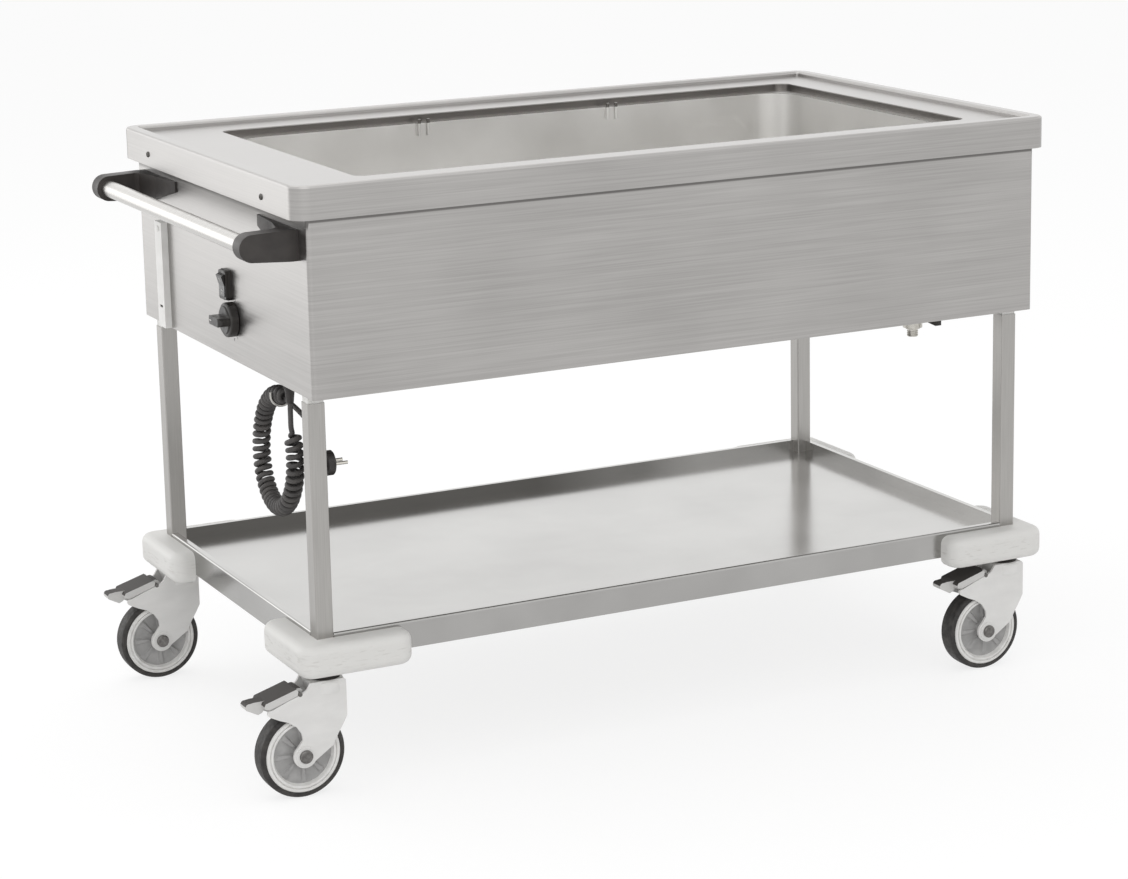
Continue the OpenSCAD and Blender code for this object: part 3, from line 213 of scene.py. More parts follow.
def grid_piece(name, grid, body, closed_rows=False, caps=False, flip=False, crease=35, keep=None):
    """A mesh over rings of points: neighbouring points make quads, closed_rows joins the last ring to
    the first, and caps close the two end rings. Edges sharper than crease degrees stay hard, and
    keep can leave quads out."""
    rows, columns = grid.shape[:2]
    index = np.arange(rows * columns).reshape(rows, columns)
    ends = [index[0, ::-1].tolist(), index[-1].tolist()] if caps else []
    if closed_rows:
        index = np.vstack([index, index[:1]])
    index = np.hstack([index, index[:, :1]])
    quads = np.stack([index[:-1, :-1], index[:-1, 1:], index[1:, 1:], index[1:, :-1]], -1).reshape(-1, 4)
    faces = (quads if keep is None else quads[keep.ravel()]).tolist() + ends
    if flip:
        faces = [face[::-1] for face in faces]
    mesh = bpy.data.meshes.new(name)
    mesh.from_pydata(grid.reshape(-1, 3).tolist(), [], faces)
    mesh.polygons.foreach_set("use_smooth", np.ones(len(mesh.polygons), bool))
    mesh.set_sharp_from_angle(angle=math.radians(crease))
    piece = bpy.data.objects.new(name, mesh)
    bpy.context.scene.collection.objects.link(piece)
    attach(piece, body)
    return piece


def tube_grid(line, side, radius, sides):
    """Rings of a round tube: the line's direction and a side vector square to it give each ring's
    plane, and the ring is radius times the cosine and sine of equal angles in that plane."""
    ahead = unit(np.gradient(line, axis=0))
    u = unit(side - (side * ahead).sum(-1, keepdims=True) * ahead)
    v = np.cross(ahead, u)
    turn = np.linspace(0, 2 * np.pi, sides, endpoint=False)[None, :, None]
    spokes = np.cos(turn) * u[:, None] + np.sin(turn) * v[:, None]
    return line[:, None] + np.reshape(radius, (-1, 1, 1)) * spokes


# The lead is laid in the millimetres of part.scad, which origin_x then moves along X. Each curl has
# curl_points points, and the rings of the sheath have cord_sides
origin_x = 36.25
cord_d, curl_d = 7.5, 26.5
curls, curl_points, cord_sides = 41, 24, 12
curl_r = (curl_d - cord_d) / 2
boot_lean = math.radians(15)
loop_centre = np.array([-571.0, -167.0, 458.0])
loop_ry, loop_rz, loop_lean, loop_drift = 72.0, 82.0, 8.0, 9.0
loop_from, loop_span = math.radians(150), math.radians(315)


def hanging_loop(t):
    """A leaning ellipse from 150 to 465 degrees that drifts sideways: its point, its direction and
    the outward vector at share t of the way round."""
    a = loop_from + loop_span * t
    point = loop_centre + np.stack(
        [loop_drift * t, loop_ry * np.cos(a) - loop_lean * np.sin(a), loop_rz * np.sin(a)], -1)
    along = unit(np.stack([np.full_like(a, loop_drift / loop_span),
                           -loop_ry * np.sin(a) - loop_lean * np.cos(a), loop_rz * np.cos(a)], -1))
    out = np.stack([np.zeros_like(a), np.cos(a), np.sin(a)], -1)
    return point, along, unit(out - (out * along).sum(-1, keepdims=True) * along)


share = np.linspace(0, 1, curls * curl_points + 1)
centre, along, out = hanging_loop(share)
rise = np.clip(np.minimum(share, 1 - share) * curls, 0, 1)
turn = 2 * np.pi * curls * share
spin = np.cos(turn)[:, None] * out + np.sin(turn)[:, None] * np.cross(along, out)
curled = centre + (curl_r * rise**2 * (3 - 2 * rise))[:, None] * spin
coil_start, coil_end = curled[0] - cord_d * along[0], curled[-1] + cord_d * along[-1]
boot = np.array([0, math.sin(boot_lean), math.cos(boot_lean)])
plug_at = np.array([-552.0, -267.0, 458.0])
lead = through([[-568, -222.5, 538], [-568.5, -223.5, 530], [-569.5, -226, 520], coil_start, curled[0]],
               [0, 0, -1], along[0], 6)
tail = through([curled[-1], coil_end, [-559, -216.5, 530], [-557, -232.5, 525], [-555, -242, 520],
                [-553.5, -250.5, 511], plug_at + 45 * boot, plug_at + 38 * boot], along[-1], -boot, 6)
cord_line = (np.vstack([lead[:-1], curled, tail[1:]]) + [origin_x, 0, 0]) * MM
cord_side = np.vstack([np.repeat(out[:1], len(lead) - 1, 0), spin, np.repeat(out[-1:], len(tail) - 1, 0)])
rings = tube_grid(cord_line, cord_side, cord_d / 2 * MM, cord_sides)
cord = grid_piece("mains_cord", rings, "trolley", caps=True, flip=True)
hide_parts("cord_lead", "cord_coil", "cord_tail")


def material(name, roughness=0.5, metallic=0.0):
    """A new material with one Principled shader. Gives it with its node tree and the shader, whose
    base colour, and often roughness, are then linked."""
    made = bpy.data.materials.new(name)
    made.use_nodes = True
    tree = made.node_tree
    tree.nodes.clear()
    shader = add(tree, "ShaderNodeBsdfPrincipled", {"Roughness": roughness, "Metallic": metallic})
    add(tree, "ShaderNodeOutputMaterial", {"Surface": shader.outputs[0]})
    return made, tree, shader


def cells(tree, scale, detail=2.0, offset=(0, 0, 0)):
    """Noise over Object coordinates whose features are 1/scale metres long in X, Y and Z."""
    place = add(tree, "ShaderNodeMapping", {"Vector": add(tree, "ShaderNodeTexCoord").outputs["Object"],
                                            "Scale": scale, "Location": offset})
    inputs = {"Vector": place.outputs[0], "Scale": 1.0, "Detail": detail}
    return add(tree, "ShaderNodeTexNoise", inputs).outputs[0]


def position(tree):
    """X, Y and Z of a point in Object coordinates."""
    return xyz(tree, "ShaderNodeTexCoord", "Object")


def facing(tree):
    """X, Y and Z of the surface normal."""
    return xyz(tree, "ShaderNodeNewGeometry", "Normal")


def rough(tree, shader, value):
    """Links the shader's roughness to value."""
    tree.links.new(value, shader.inputs["Roughness"])


def bump(tree, shader, height, depth):
    """Tilts the surface by a height map whose full range is depth metres."""
    made = add(tree, "ShaderNodeBump", {"Height": height, "Distance": depth, "Strength": 1.0})
    tree.links.new(made.outputs[0], shader.inputs["Normal"])


def tint(tree, shader, value, dark, light):
    """Runs the base colour from dark to light as value goes from 0 to 1."""
    tree.links.new(blend(tree, value, linear(dark), linear(light)), shader.inputs["Base Color"])


def dress(finish, *names):
    """Gives one material to CAD nodes or pieces."""
    for item in names:
        mesh = (nodes[item] if isinstance(item, str) else item).data
        mesh.materials.clear()
        mesh.materials.append(finish)


# Rubber sheath: black and matt, with talc-dulled patches a few centimetres long
rubber, tree, shader = material("rubber_sheath")
rough(tree, shader, spread(tree, cells(tree, (60, 60, 60)), 0.46, 0.66))
tint(tree, shader, spread(tree, cells(tree, (35, 35, 35), offset=(3, 1, 2)), 0, 1), "#383636", "#504D4B")
bump(tree, shader, cells(tree, (900, 900, 900)), 0.00006)
dress(rubber, cord)


# CABLE GLAND, PLUG AND ITS CLIP
# The lead leaves the base through a black nylon gland with a tapered bend protector. It ends in a
# moulded plug with two nickel pins, parked in a spring clip screwed behind the left front leg.

# Moulded nylon: near black, satin, with the fine spark-eroded grain that such mouldings carry
nylon, tree, shader = material("moulded_black_nylon")
rough(tree, shader, spread(tree, cells(tree, (90, 90, 90)), 0.42, 0.58))
tint(tree, shader, spread(tree, cells(tree, (45, 45, 45), offset=(1, 4, 2)), 0, 1), "#221F1E", "#312D2B")
bump(tree, shader, cells(tree, (1400, 1400, 1400), 1.0), 0.00005)
dress(nylon, "cable_gland", "plug_clip")

# The plug is one moulding in the same nylon, and what stands beyond its face is a nickel pin
plug_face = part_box("plug")[1][0] - 19 * MM
plug_skin, tree, shader = material("plug_nylon_and_nickel")
is_pin = calc(tree, "GREATER_THAN", position(tree)["X"], plug_face + 0.2 * MM)
tint(tree, shader, is_pin, "#292625", "#C9C6BE")
tree.links.new(is_pin, shader.inputs["Metallic"])
rough(tree, shader, spread(tree, is_pin, 0.48, 0.24, 0, 1))
bump(tree, shader, cells(tree, (1400, 1400, 1400), 1.0), 0.00003)
dress(plug_skin, "plug")


# TOP, HOUSING AND BASE
# Folded sheets of satin stainless steel, 1.5 mm thick, welded and ground flush at the corners. The
# brush lines run along the trolley on the deck and the sides, and across it on the two ends.


def brushed(tree, along, across):
    """Long fine noise, level on upright faces and along X on level ones: the two patterns swap
    where the upward part of the surface normal passes one half."""
    level = cells(tree, (along, across, along))
    upright = cells(tree, (along, along, across))
    flat = calc(tree, "GREATER_THAN", calc(tree, "ABSOLUTE", facing(tree)["Z"]), 0.5)
    return add(tree, "ShaderNodeMix", {"Factor": flat, 2: upright, 3: level}).outputs[0]


def total(tree, first, second, share):
    """first plus share times second."""
    return calc(tree, "MULTIPLY_ADD", second, share, first)


# Satin stainless: the lines of a 240 grit belt lie 0.1 mm apart, too fine to show, so they are
# drawn 2 mm apart. Slow clouds in the roughness are wiping marks, and the sheet is never quite flat.
satin, tree, shader = material("satin_stainless", metallic=1.0)
lines = brushed(tree, 5, 520)
clouds = cells(tree, (5, 5, 7), 3.0, (2, 5, 1))
both = total(tree, lines, clouds, 0.5)
plain = blend(tree, spread(tree, both, 0, 1, 0.5, 1.0), linear("#A19F9D"), linear("#B0AEAC"))
# Painted shade under the lip: the housing is painted a dull grey line just below it, 6 mm deep along the
# sides and 15 mm on the ends, where the lip stands out further
below_lip = calc(tree, "SUBTRACT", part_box("top_frame")[0][2], position(tree)["Z"])
reach = spread(tree, calc(tree, "ABSOLUTE", facing(tree)["X"]), 6 * MM, 15 * MM, 0.4, 0.6)
lee = spread(tree, calc(tree, "DIVIDE", below_lip, reach), 0.75, 0, 0.65, 1.0)
lee = calc(tree, "MULTIPLY", lee, calc(tree, "GREATER_THAN", below_lip, -0.1 * MM))
tree.links.new(blend(tree, lee, plain, linear("#4E4C4A")), shader.inputs["Base Color"])
rough(tree, shader, spread(tree, both, 0.28, 0.38, 0.5, 1.0))
bump(tree, shader, total(tree, cells(tree, (3, 3, 3), 1.0), lines, 0.03), 0.0008)
dress(satin, "top_frame", "housing_jacket", "base_panel", "shelf_channels")

# The channel cover beside the controls is powder-coated off-white, with a faint orange-peel skin
coated, tree, shader = material("off_white_powder_coat", 0.42)
tint(tree, shader, spread(tree, cells(tree, (25, 25, 25)), 0, 1), "#DEDDDA", "#EAE9E7")
bump(tree, shader, cells(tree, (600, 600, 600), 1.0), 0.00008)
dress(coated, "channel_cover")


# LIP SCREWS
# Four pan-head screws, 9 mm across with a cross recess, hold the end lips.


def pan_head(name, centre, outward, radius, height, body):
    """A screw head over radii and angles. Its height is the full height times the square root of one
    less the fourth power of the radius share, and falls to a third inside a cross of two slots."""
    share = np.concatenate([np.linspace(0.02, 0.62, 16), np.linspace(0.66, 1, 8)])[:, None]
    angle = np.linspace(0, 2 * np.pi, 72, endpoint=False)[None]
    y, z = share * np.cos(angle), share * np.sin(angle)
    rise = np.sqrt(np.clip(1 - share**4, 0, 1)) + 0 * angle
    arm = (np.minimum(np.abs(y), np.abs(z)) < 0.12) & (share < 0.56)
    rise = np.where(arm, rise * 0.35, rise)
    grid = np.stack([outward * height * rise, radius * y, radius * z], -1) + np.array(centre)
    return grid_piece(name, grid, body, caps=True, flip=outward > 0)


# Zinc plate: cool grey, half-bright, with a faint mottle from the bath
zinc, tree, shader = material("zinc_plate", metallic=1.0)
tint(tree, shader, spread(tree, cells(tree, (160, 160, 160)), 0, 1), "#A3A19D", "#C6C4BF")
rough(tree, shader, spread(tree, cells(tree, (220, 220, 220), offset=(5, 2, 1)), 0.28, 0.48))
bump(tree, shader, cells(tree, (500, 500, 500)), 0.00003)

# The screws themselves are dark grey and half-dull
dark_screw, tree, shader = material("dark_grey_screw", metallic=1.0)
tint(tree, shader, spread(tree, cells(tree, (300, 300, 300)), 0, 1), "#4B4947", "#696764")
rough(tree, shader, spread(tree, cells(tree, (350, 350, 350), offset=(5, 2, 1)), 0.34, 0.52))

head_r, head_h = 4.5 * MM, 2.4 * MM
screw_low, screw_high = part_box("lip_screws")
screw_z = middle("lip_screws")[2]
top_low, top_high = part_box("top_frame")
for end, outward, lip in (("near", -1, top_low[0]), ("far", 1, top_high[0])):
    for side, y in (("front", screw_low[1] + head_r), ("rear", screw_high[1] - head_r)):
        name, spot = "lip_screw_%s_%s" % (end, side), (lip, y, screw_z)
        head = pan_head(name, spot, outward, head_r, head_h, "trolley")
        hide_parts("lip_screws")
        dress(dark_screw, head)


# WELL
# A deep-drawn tub of bright-rolled stainless with a ledge for the pans, welded under the deck. Pairs
# of ground pins hold the cross bars, and a slotted strainer is pressed into the drain.

# Bright-rolled stainless: a blurred mirror, dulled by cleaning, with faint long scratches
bright, tree, shader = material("bright_rolled_stainless", metallic=1.0)
scratch = cells(tree, (14, 160, 160), 3.0, (4, 2, 7))
haze = cells(tree, (7, 7, 7), 4.0)
plain = blend(tree, spread(tree, haze, 0, 1), linear("#DCDBD9"), linear("#E7E6E4"))
# The upright step between ledge and deck is painted dark brown-grey: painted shade and reflection of the
# well's dark inside
step_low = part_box("well_tub")[1][2] - 11 * MM
above = calc(tree, "GREATER_THAN", position(tree)["Z"], step_low)
on_step = calc(tree, "MULTIPLY", above, calc(tree, "LESS_THAN", facing(tree)["Z"], 0.6))
tree.links.new(blend(tree, on_step, plain, linear("#716E6B")), shader.inputs["Base Color"])
rough(tree, shader, spread(tree, total(tree, haze, scratch, 0.15), 0.28, 0.36, 0.35, 0.8))
bump(tree, shader, total(tree, cells(tree, (4, 4, 4), 1.0), scratch, 0.02), 0.0007)
dress(bright, "well_tub", "bar_guides")


def turned(name, profile, centre, axis, body, sides=48, closed=False, crease=35):
    """A profile of pairs (radius, distance along the axis) turned about an axis through centre."""
    axis = unit(np.array(axis, float))
    u = unit(np.cross(axis, [0.3, 0.5, 0.8]))
    v = np.cross(axis, u)
    r, h = np.array(profile, float).T[:, :, None, None]
    angle = np.linspace(0, 2 * np.pi, sides, endpoint=False)[None, :, None]
    grid = np.array(centre, float) + r * (np.cos(angle) * u + np.sin(angle) * v) + h * axis
    return grid_piece(name, grid, body, closed_rows=closed, caps=not closed, flip=True, crease=crease)


# The strainer is a pressed disc, 46 mm across: a rounded rim, a dished middle and eight slots
strainer_r = 23 * MM
drain_x, drain_y = middle("drain_pipe")[:2]
floor_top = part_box("drain_pipe")[1][2] + 1.5 * MM
share = np.array([0.004, 0.12, 0.2, 0.3, 0.36, 0.5, 0.62, 0.7, 0.78, 0.84, 0.9, 0.94, 0.97, 1.0])[:, None]
columns = 96
angle = np.linspace(0, 2 * np.pi, columns, endpoint=False)[None]
rise = np.interp(share, [0, 0.7, 0.84, 0.94, 1.0], [0.4, 0.5, 1.9, 1.7, 0.1]) * MM
x, y = strainer_r * share * np.cos(angle), strainer_r * share * np.sin(angle)
grid = np.stack([x, y, rise + 0 * angle], -1) + [drain_x, drain_y, floor_top]
# Each slot takes six of every twelve columns, out of the fifth to the seventh row of quads
solid = np.ones((len(share) - 1, columns), bool)
solid[4:7] = (np.arange(columns) % 12 >= 6)[None]
strainer = grid_piece("drain_strainer", grid, "trolley", flip=True, keep=solid)
thick = strainer.modifiers.new("thickness", "SOLIDIFY")
thick.thickness = 0.8 * MM
thick.offset = -1.0
dress(bright, strainer)


# CONTROLS
# A black thermoset knob with a grip bar turns the thermostat, over a printed scale of ticks. Above
# it a gloss black rocker with on and off marks sits in a moulded frame clipped into the housing.

# Thermoset: black, a little glossier than nylon, with polish marks from handling
thermoset, tree, shader = material("black_thermoset")
rough(tree, shader, spread(tree, cells(tree, (110, 110, 110), 3.0), 0.26, 0.5))
tint(tree, shader, spread(tree, cells(tree, (50, 50, 50), offset=(2, 2, 5)), 0, 1), "#1D1A18", "#2E2A27")
bump(tree, shader, cells(tree, (1100, 1100, 1100), 1.0), 0.00003)
dress(thermoset, "thermostat_knob", "switch_frame")

# The rocker is the glossiest piece, and shows soft sheen lines
gloss, tree, shader = material("gloss_black_rocker")
rough(tree, shader, spread(tree, cells(tree, (120, 120, 120), 3.0), 0.11, 0.24))
tint(tree, shader, spread(tree, cells(tree, (60, 60, 60)), 0, 1), "#161414", "#211F1E")
dress(gloss, "switch_rocker")

# Printing inks: flat and a little worn, white on the black pieces and black on the steel
ink, tree, shader = material("white_print_ink", 0.6)
tint(tree, shader, spread(tree, cells(tree, (700, 700, 700)), 0, 1), "#C9C8C4", "#E3E2DE")
black_ink, tree, shader = material("black_print_ink", 0.6)
tint(tree, shader, spread(tree, cells(tree, (700, 700, 700)), 0, 1), "#222121", "#3E3C3B")


def bar(name, wide, start, end, out, thickness, across, up, place, body):
    """A thin straight bar on place: its outline runs from start to end along the up vector, wide to
    each side along the across vector, and its face stands out by thickness."""
    flat = np.array([(-wide, start), (wide, start), (wide, end), (-wide, end)])
    across, up, out = np.array(across, float), np.array(up, float), np.array(out, float)
    foot = flat[:, :1] * across + flat[:, 1:] * up + np.array(place, float)
    inside_out = np.dot(np.cross(across, up), out) > 0
    return grid_piece(name, np.stack([foot, foot + thickness * out]), body, caps=True, flip=inside_out)


# Eleven ticks from 180 to -90 degrees, of which the ends and the middle are wider and longer
scale_r = 27.5
knob_y, knob_z = middle("thermostat_knob")[1:]
knob_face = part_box("thermostat_knob")[0][0]
panel_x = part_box("housing_jacket")[0][0]
for k, degrees in enumerate(np.linspace(180, -90, 11)):
    a = math.radians(degrees)
    ray, side = (0, -math.cos(a), math.sin(a)), (0, math.sin(a), math.cos(a))
    wide, long = (0.7, 4.5) if k % 5 == 0 else (0.45, 3.0)
    tick = bar("scale_tick_%d" % k, wide * MM, scale_r * MM, (scale_r + long) * MM, (-1, 0, 0), 0.12 * MM,
               side, ray, (panel_x, knob_y, knob_z), "trolley")
    dress(black_ink, tick)

pointer = bar("knob_pointer", 0.8 * MM, 8 * MM, 15.5 * MM, (-1, 0, 0), 0.1 * MM,
              (0, 0, 1), (0, 1, 0), (knob_face - 0.02 * MM, knob_y, knob_z), "knob")
dress(ink, pointer)

# The rocker is at rest with its lower half pressed in, turned by 8 degrees about its pivot, and its
# two faces slope 8.7 degrees from the valley between them. A mark sits 9 mm up or down each face
lean = math.radians(8)
pivot = np.array([panel_x - 3 * MM, middle("switch_rocker")[1], middle("switch_frame")[2]])
valley = pivot + 7 * MM * np.array([-math.cos(lean), 0, -math.sin(lean)])
ring = np.array([(2.2, -0.1), (2.2, 0.15), (3.2, 0.15), (3.2, -0.1)]) * MM
for mark, sign in (("on", 1), ("off", -1)):
    face_turn = lean + math.atan2(3, 19.5) * sign
    up = np.array([-math.sin(face_turn), 0, math.cos(face_turn)])
    out = np.array([-math.cos(face_turn), 0, -math.sin(face_turn)])
    spot = valley + 9 * MM * sign * up
    if mark == "on":
        sign_piece = bar("mark_on", 0.6 * MM, -3 * MM, 3 * MM, out, 0.15 * MM, (0, 1, 0), up, spot, "switch")
    else:
        sign_piece = turned("mark_off", ring, spot, out, "switch", 40, True)
    dress(ink, sign_piece)


# HANDLE
# A ground stainless tube, 25 mm across, held in two moulded black arms that are screwed to the
# end of the housing. The arms' long wings spread the push over the sheet.

# Ground tube: lines run round the tube, 0.1 mm apart in fact, and drawn 2 mm apart
ground, tree, shader = material("ground_tube_handle", metallic=1.0)
rings = cells(tree, (8, 520, 8), 2.0)
tint(tree, shader, spread(tree, rings, 0, 1), "#BBB9B6", "#C5C3C0")
rough(tree, shader, spread(tree, rings, 0.25, 0.31))
bump(tree, shader, rings, 0.000004)
dress(ground, "handle_tube")

# Glass-filled nylon: matt black with a coarse leather-like mould grain, paler where hands rub it
arms, tree, shader = material("moulded_handle_arms")
rub = spread(tree, cells(tree, (28, 28, 28), 3.0), 0, 1, 0.4, 0.75)
tint(tree, shader, rub, "#282422", "#3A3532")
rough(tree, shader, spread(tree, rub, 0.56, 0.4, 0, 1))
place = add(tree, "ShaderNodeTexCoord").outputs["Object"]
pebble = add(tree, "ShaderNodeTexVoronoi", {"Vector": place, "Scale": 850.0})
bump(tree, shader, pebble.outputs[0], 0.00012)
dress(arms, "handle_bracket_front", "handle_bracket_rear")


# LEGS AND SHELF
# Four square stainless tubes, ground lengthwise, stand on the bumpers' webs and carry the housing
# on off-white spacers. The dished shelf of bright-rolled sheet is welded between them.

# Square tube: the grinding lines run up the leg
leg_steel, tree, shader = material("ground_square_tube", metallic=1.0)
up_lines = cells(tree, (600, 600, 12), 2.0)
tint(tree, shader, spread(tree, up_lines, 0, 1), "#A3A19E", "#ACAAA7")
rough(tree, shader, spread(tree, up_lines, 0.28, 0.34))
bump(tree, shader, up_lines, 0.000008)
dress(leg_steel, "leg_front_left", "leg_rear_left", "leg_front_right", "leg_rear_right", "drain_pipe")

# Spacers: off-white polypropylene, slightly waxy
waxy, tree, shader = material("off_white_polypropylene", 0.42)
tint(tree, shader, spread(tree, cells(tree, (80, 80, 80)), 0, 1), "#D8D7D3", "#E9E8E6")
bump(tree, shader, cells(tree, (700, 700, 700), 1.0), 0.00004)
dress(waxy, "leg_spacers")

# The shelf's bright sheet mirrors the legs softly, and its scratches run along the trolley. Its base colour
# is painted far darker than the well's same sheet, as painted shade from the housing above it
shelf_steel, tree, shader = material("bright_rolled_shelf", metallic=1.0)
scratch = cells(tree, (12, 200, 200), 3.0, (9, 3, 4))
haze = cells(tree, (6, 6, 6), 4.0, (1, 8, 3))
plain = blend(tree, spread(tree, haze, 0, 1), linear("#9E9D9B"), linear("#ABAAA8"))
# The rear rim's inner face is painted dark, as painted shade and reflection, thinning out past the middle
place = position(tree)
at_rear = calc(tree, "GREATER_THAN", place["Y"], 0.2)
film = calc(tree, "MULTIPLY", at_rear, calc(tree, "LESS_THAN", facing(tree)["Y"], -0.7))
film = calc(tree, "MULTIPLY", film, spread(tree, place["X"], 0.8, 0, 0.1, 0.4))
tree.links.new(blend(tree, film, plain, linear("#54524F")), shader.inputs["Base Color"])
rough(tree, shader, spread(tree, total(tree, haze, scratch, 0.05), 0.15, 0.2, 0.3, 0.75))
bump(tree, shader, total(tree, cells(tree, (3, 3, 3), 1.0), scratch, 0.008), 0.0009)
dress(shelf_steel, "shelf_tray")

# Weld beads close the corners where the shelf's edges meet the legs: a round bead with ripples
# 2 mm apart, left heat-tinted and then pickled grey
bead_steel, tree, shader = material("pickled_weld", metallic=1.0)
tint(tree, shader, spread(tree, cells(tree, (400, 400, 400)), 0, 1), "#85827F", "#ACAAA7")
rough(tree, shader, spread(tree, cells(tree, (500, 500, 500)), 0.35, 0.6))
corners = {"front_left": (-1, -1), "rear_left": (-1, 1), "front_right": (1, -1), "rear_right": (1, 1)}
shelf_low, shelf_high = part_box("shelf_tray")
for name, (sx, sy) in corners.items():
    leg_low, leg_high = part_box("leg_" + name)
    inner_x = leg_high[0] if sx < 0 else leg_low[0]
    inner_y = leg_high[1] if sy < 0 else leg_low[1]
    outer_x = leg_low[0] if sx < 0 else leg_high[0]
    outer_y = leg_low[1] if sy < 0 else leg_high[1]
    for way, x, y in (("side", inner_x, outer_y - sy * 0.4 * MM), ("end", outer_x - sx * 0.4 * MM, inner_y)):
        z = np.linspace(shelf_low[2] + 1 * MM, shelf_high[2] - 3 * MM, 145)
        bulge = (1.15 + 0.18 * np.abs(np.sin(np.pi * z / (2 * MM)))) * MM
        line = np.stack([np.full_like(z, x), np.full_like(z, y), z], -1)
        rings = tube_grid(line, np.tile([1.0, 0, 0], (len(z), 1)), bulge, 8)
        bead = grid_piece("weld_%s_%s" % (way, name), rings, "trolley", caps=True, flip=True, crease=60)
        dress(bead_steel, bead)


# BUMPERS
# Light grey polyethylene corner mouldings, clamped between leg and castor. They are matt, a little
# yellowed, and scuffed where they meet walls and door frames.

bumper_grey, tree, shader = material("scuffed_grey_polyethylene")
off_middle = calc(tree, "SUBTRACT", position(tree)["Z"], middle("bumper_front_left")[2])
middle_band = spread(tree, calc(tree, "ABSOLUTE", off_middle), 1, 0, 6 * MM, 17 * MM)
streaks = spread(tree, cells(tree, (60, 60, 320), 4.0, (7, 1, 3)), 0, 1, 0.55, 0.75)
scuffs = calc(tree, "MULTIPLY", middle_band, streaks)
tint(tree, shader, scuffs, "#E0DFDC", "#CFCDC9")
rough(tree, shader, spread(tree, scuffs, 0.5, 0.72, 0, 1))
bump(tree, shader, total(tree, cells(tree, (500, 500, 500), 1.0), scuffs, -0.6), 0.00008)
dress(bumper_grey, "bumper_front_left", "bumper_rear_left", "bumper_front_right", "bumper_rear_right")


# CASTORS
# Each fork is one moulding of light grey glass-filled nylon on a steel kingpin, closed above by a
# black dust seal. The wheel has a grey core, a white rim band and a thin black tyre.

# Fork: satin, with faint flow marks and the fine grain of glass fibre
fork_grey, tree, shader = material("glass_filled_fork_nylon")
tint(tree, shader, spread(tree, cells(tree, (30, 30, 60), 4.0), 0, 1), "#E0DFDD", "#E7E6E4")
rough(tree, shader, spread(tree, cells(tree, (120, 120, 120), 3.0), 0.4, 0.56))
bump(tree, shader, cells(tree, (900, 900, 900), 1.0), 0.00006)

# Pedal: the same nylon, with every face that looks up coloured dark grey
pedal_grey, tree, shader = material("fork_nylon_dark_on_upward_faces")
tread = calc(tree, "GREATER_THAN", facing(tree)["Z"], 0.35)
tint(tree, shader, tread, "#CFCECC", "#3B3836")
rough(tree, shader, spread(tree, tread, 0.48, 0.66, 0, 1))
bump(tree, shader, cells(tree, (900, 900, 900), 1.0), 0.00006)

# Axle bolt: black-oxide steel, greasy and half-dull
black_oxide, tree, shader = material("black_oxide_bolt", metallic=1.0)
tint(tree, shader, spread(tree, cells(tree, (260, 260, 260)), 0, 1), "#5C5A58", "#7B7977")
rough(tree, shader, spread(tree, cells(tree, (300, 300, 300)), 0.32, 0.5))

# Tyre: black rubber with a grey bloom and floor dust in fine scratches round the tread
tyre_rubber, tree, shader = material("dusty_black_tyre_rubber")
tint(tree, shader, spread(tree, cells(tree, (90, 90, 90), 5.0), 0, 1, 0.4, 0.75), "#242221", "#413E3B")
rough(tree, shader, spread(tree, cells(tree, (200, 200, 200), 3.0), 0.52, 0.74))
bump(tree, shader, cells(tree, (600, 600, 600), 3.0), 0.00012)

# Core: mid grey polypropylene. Band: near-white polyamide
core_grey, tree, shader = material("grey_polypropylene_core", 0.46)
tint(tree, shader, spread(tree, cells(tree, (60, 60, 60), 4.0), 0, 1), "#979695", "#ADACAB")
bump(tree, shader, cells(tree, (800, 800, 800), 1.0), 0.00006)
band_white, tree, shader = material("white_polyamide_band", 0.44)
tint(tree, shader, spread(tree, cells(tree, (90, 90, 90), 4.0), 0, 1), "#DDDCD9", "#EEEDEB")
bump(tree, shader, cells(tree, (800, 800, 800), 1.0), 0.00004)

# Half of the core's outline, as radius and distance from the middle of the wheel in millimetres
face_r = np.array([6.1, 6.1, 11.5, 12.4, 13.0, 14.2, 17.0, 20.5,
                   24.0, 28.0, 32.0, 36.0, 39.0, 41.0, 42.0, 42.3])
face_y = np.array([17.5, 18.5, 18.5, 18.0, 14.0, 9.6, 9.0, 9.0,
                   9.0, 9.1, 9.3, 9.6, 10.0, 10.6, 11.0, 11.0])
ribbed = np.interp(face_r, [13.5, 16, 38, 41.5], [0, 1, 1, 0])
columns = 160
angle = np.linspace(0, 2 * np.pi, columns, endpoint=False)
rib_share = np.clip(6 * (np.abs(np.cos(4 * angle)) ** 8 - 0.35), 0, 1)
# Eight spokes stand 3.5 mm out of the dished web. The outline of one side is followed back along
# the other, so that each ring of points closes
depth = face_y[:, None] + 3.5 * (ribbed[:, None] * rib_share[None])
radius = face_r[:, None] + 0 * angle[None]
both_r, both_y = np.vstack([radius, radius[::-1]]) * MM, np.vstack([depth, -depth[::-1]]) * MM
core_grid = np.stack([both_r * np.cos(angle), both_y, both_r * np.sin(angle)], -1)
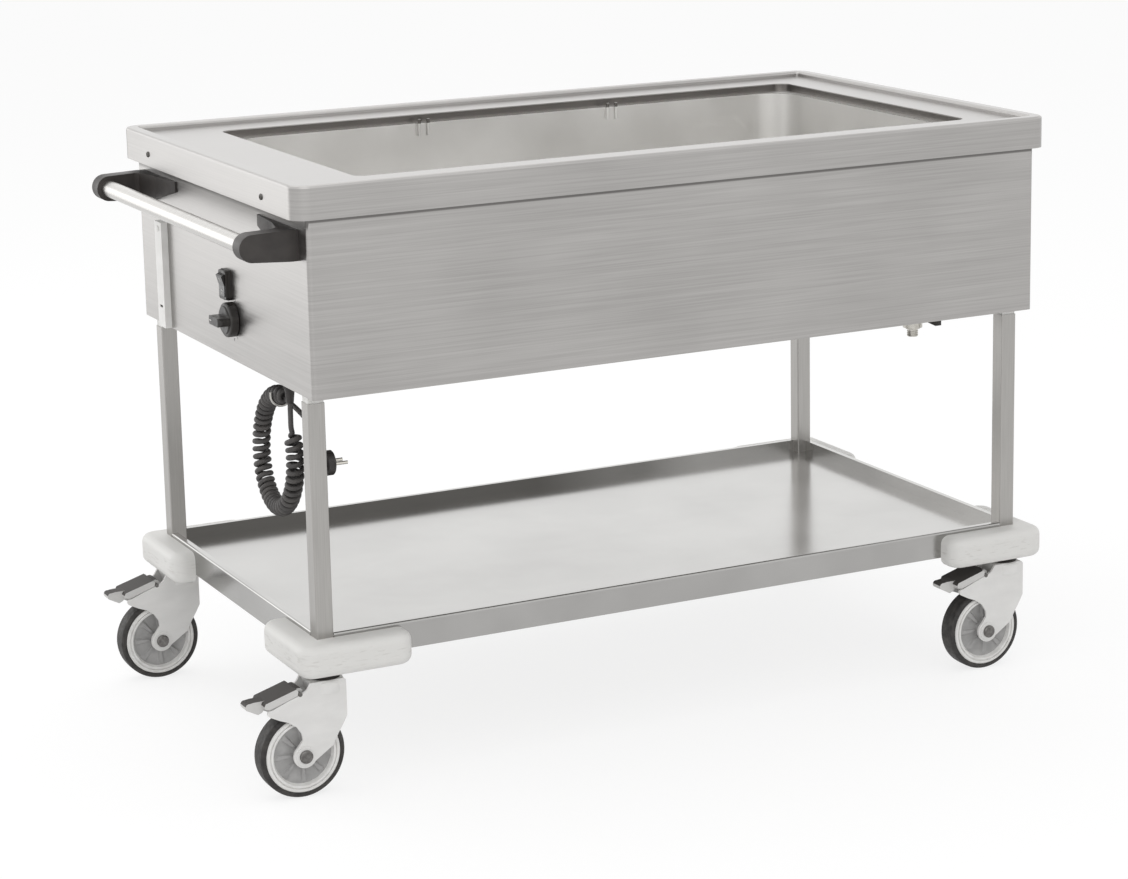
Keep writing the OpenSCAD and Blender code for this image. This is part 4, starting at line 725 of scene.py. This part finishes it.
# On each side the band's outline slopes up from the core, has one groove 2 mm deep, and is
# bevelled under the tyre
edge = [(42.3, -11), (42.5, -12), (44.5, -14.8), (45, -16), (48, -16), (48.3, -14), (49.5, -14), (49.8, -16),
        (53.2, -16), (54.5, -14.5)]
band_line = np.array(edge + [(r, -y) for r, y in edge[::-1]]) * MM
seal_line = np.array([(9.6, 0.05), (22.6, 0.05), (23.0, 1.2), (20.5, 3.4), (16.5, 4.6), (16.0, 6.0),
                      (9.6, 6.0)]) * MM
for name in corners:
    hub = np.array(middle("tyre_" + name))
    core = grid_piece("wheel_core_" + name, core_grid + hub, "wheel_" + name, closed_rows=True)
    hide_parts("wheel_" + name)
    dress(core_grey, core)
    band = turned("wheel_band_" + name, band_line, hub, (0, 1, 0), "wheel_" + name, 96, True)
    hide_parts("wheel_" + name)
    dress(band_white, band)

    swivel_x, swivel_y = middle("leg_" + name)[:2]
    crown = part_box("fork_" + name)[1][2]
    foot = (swivel_x, swivel_y, crown)
    seal = turned("dust_seal_" + name, seal_line, foot, (0, 0, 1), "castor_" + name, 64, True)
    dress(nylon, seal)
    dress(fork_grey, "fork_" + name)
    dress(pedal_grey, "pedal_" + name)
    dress(black_oxide, "axle_" + name)
    dress(tyre_rubber, "tyre_" + name)
dress(zinc, "castor_heads", "cord_hook")


# DRAIN COCK
# A nickel-plated brass ball cock screwed to the pipe under the base, with a black lever. A hose
# would be pushed over the barbs of its tail.

# Nickel plate: warm white metal, half-bright over a machined body
nickel, tree, shader = material("nickel_plate", metallic=1.0)
tint(tree, shader, spread(tree, cells(tree, (120, 120, 120)), 0, 1), "#B2AFA7", "#CFCCC6")
rough(tree, shader, spread(tree, cells(tree, (160, 160, 500), 3.0), 0.2, 0.4))
bump(tree, shader, cells(tree, (300, 300, 1200), 1.0), 0.00002)
dress(nickel, "valve_body", "valve_ball")
dress(nylon, "valve_lever")

tail_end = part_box("valve_body")[0][2]
barb_line = np.array([(7.6, 0.2), (8.0, 0.2), (8.6, 2.6), (8.05, 2.9), (8.6, 5.6), (8.05, 5.9), (8.6, 8.6),
                      (8.0, 9.0), (7.6, 9.0)]) * MM
barbs = turned("hose_barbs", barb_line, (drain_x, drain_y, tail_end), (0, 0, 1), "trolley", 48, True)
dress(nickel, barbs)


# INSIDE THE HOUSING
# Mineral wool wraps the well over a tubular heater. The thermostat and the terminal box are cream
# thermoset mouldings behind the control panel. None of it shows from outside.

wool, tree, shader = material("mineral_wool_board", 0.95)
fibres = cells(tree, (240, 240, 900), 5.0)
tint(tree, shader, spread(tree, fibres, 0, 1), "#AE9858", "#DACB97")
bump(tree, shader, fibres, 0.0012)
dress(wool, "well_lagging")

sheath, tree, shader = material("heat_tinted_heater_sheath", metallic=1.0)
tint(tree, shader, spread(tree, cells(tree, (30, 30, 30), 3.0), 0, 1), "#544B46", "#85725F")
rough(tree, shader, spread(tree, cells(tree, (200, 200, 200)), 0.34, 0.55))
dress(sheath, "heating_element")

cream, tree, shader = material("cream_thermoset", 0.5)
tint(tree, shader, spread(tree, cells(tree, (70, 70, 70), 3.0), 0, 1), "#CEC6AE", "#E1DBC8")
bump(tree, shader, cells(tree, (800, 800, 800), 1.0), 0.00005)
dress(cream, "thermostat_body", "terminal_box")
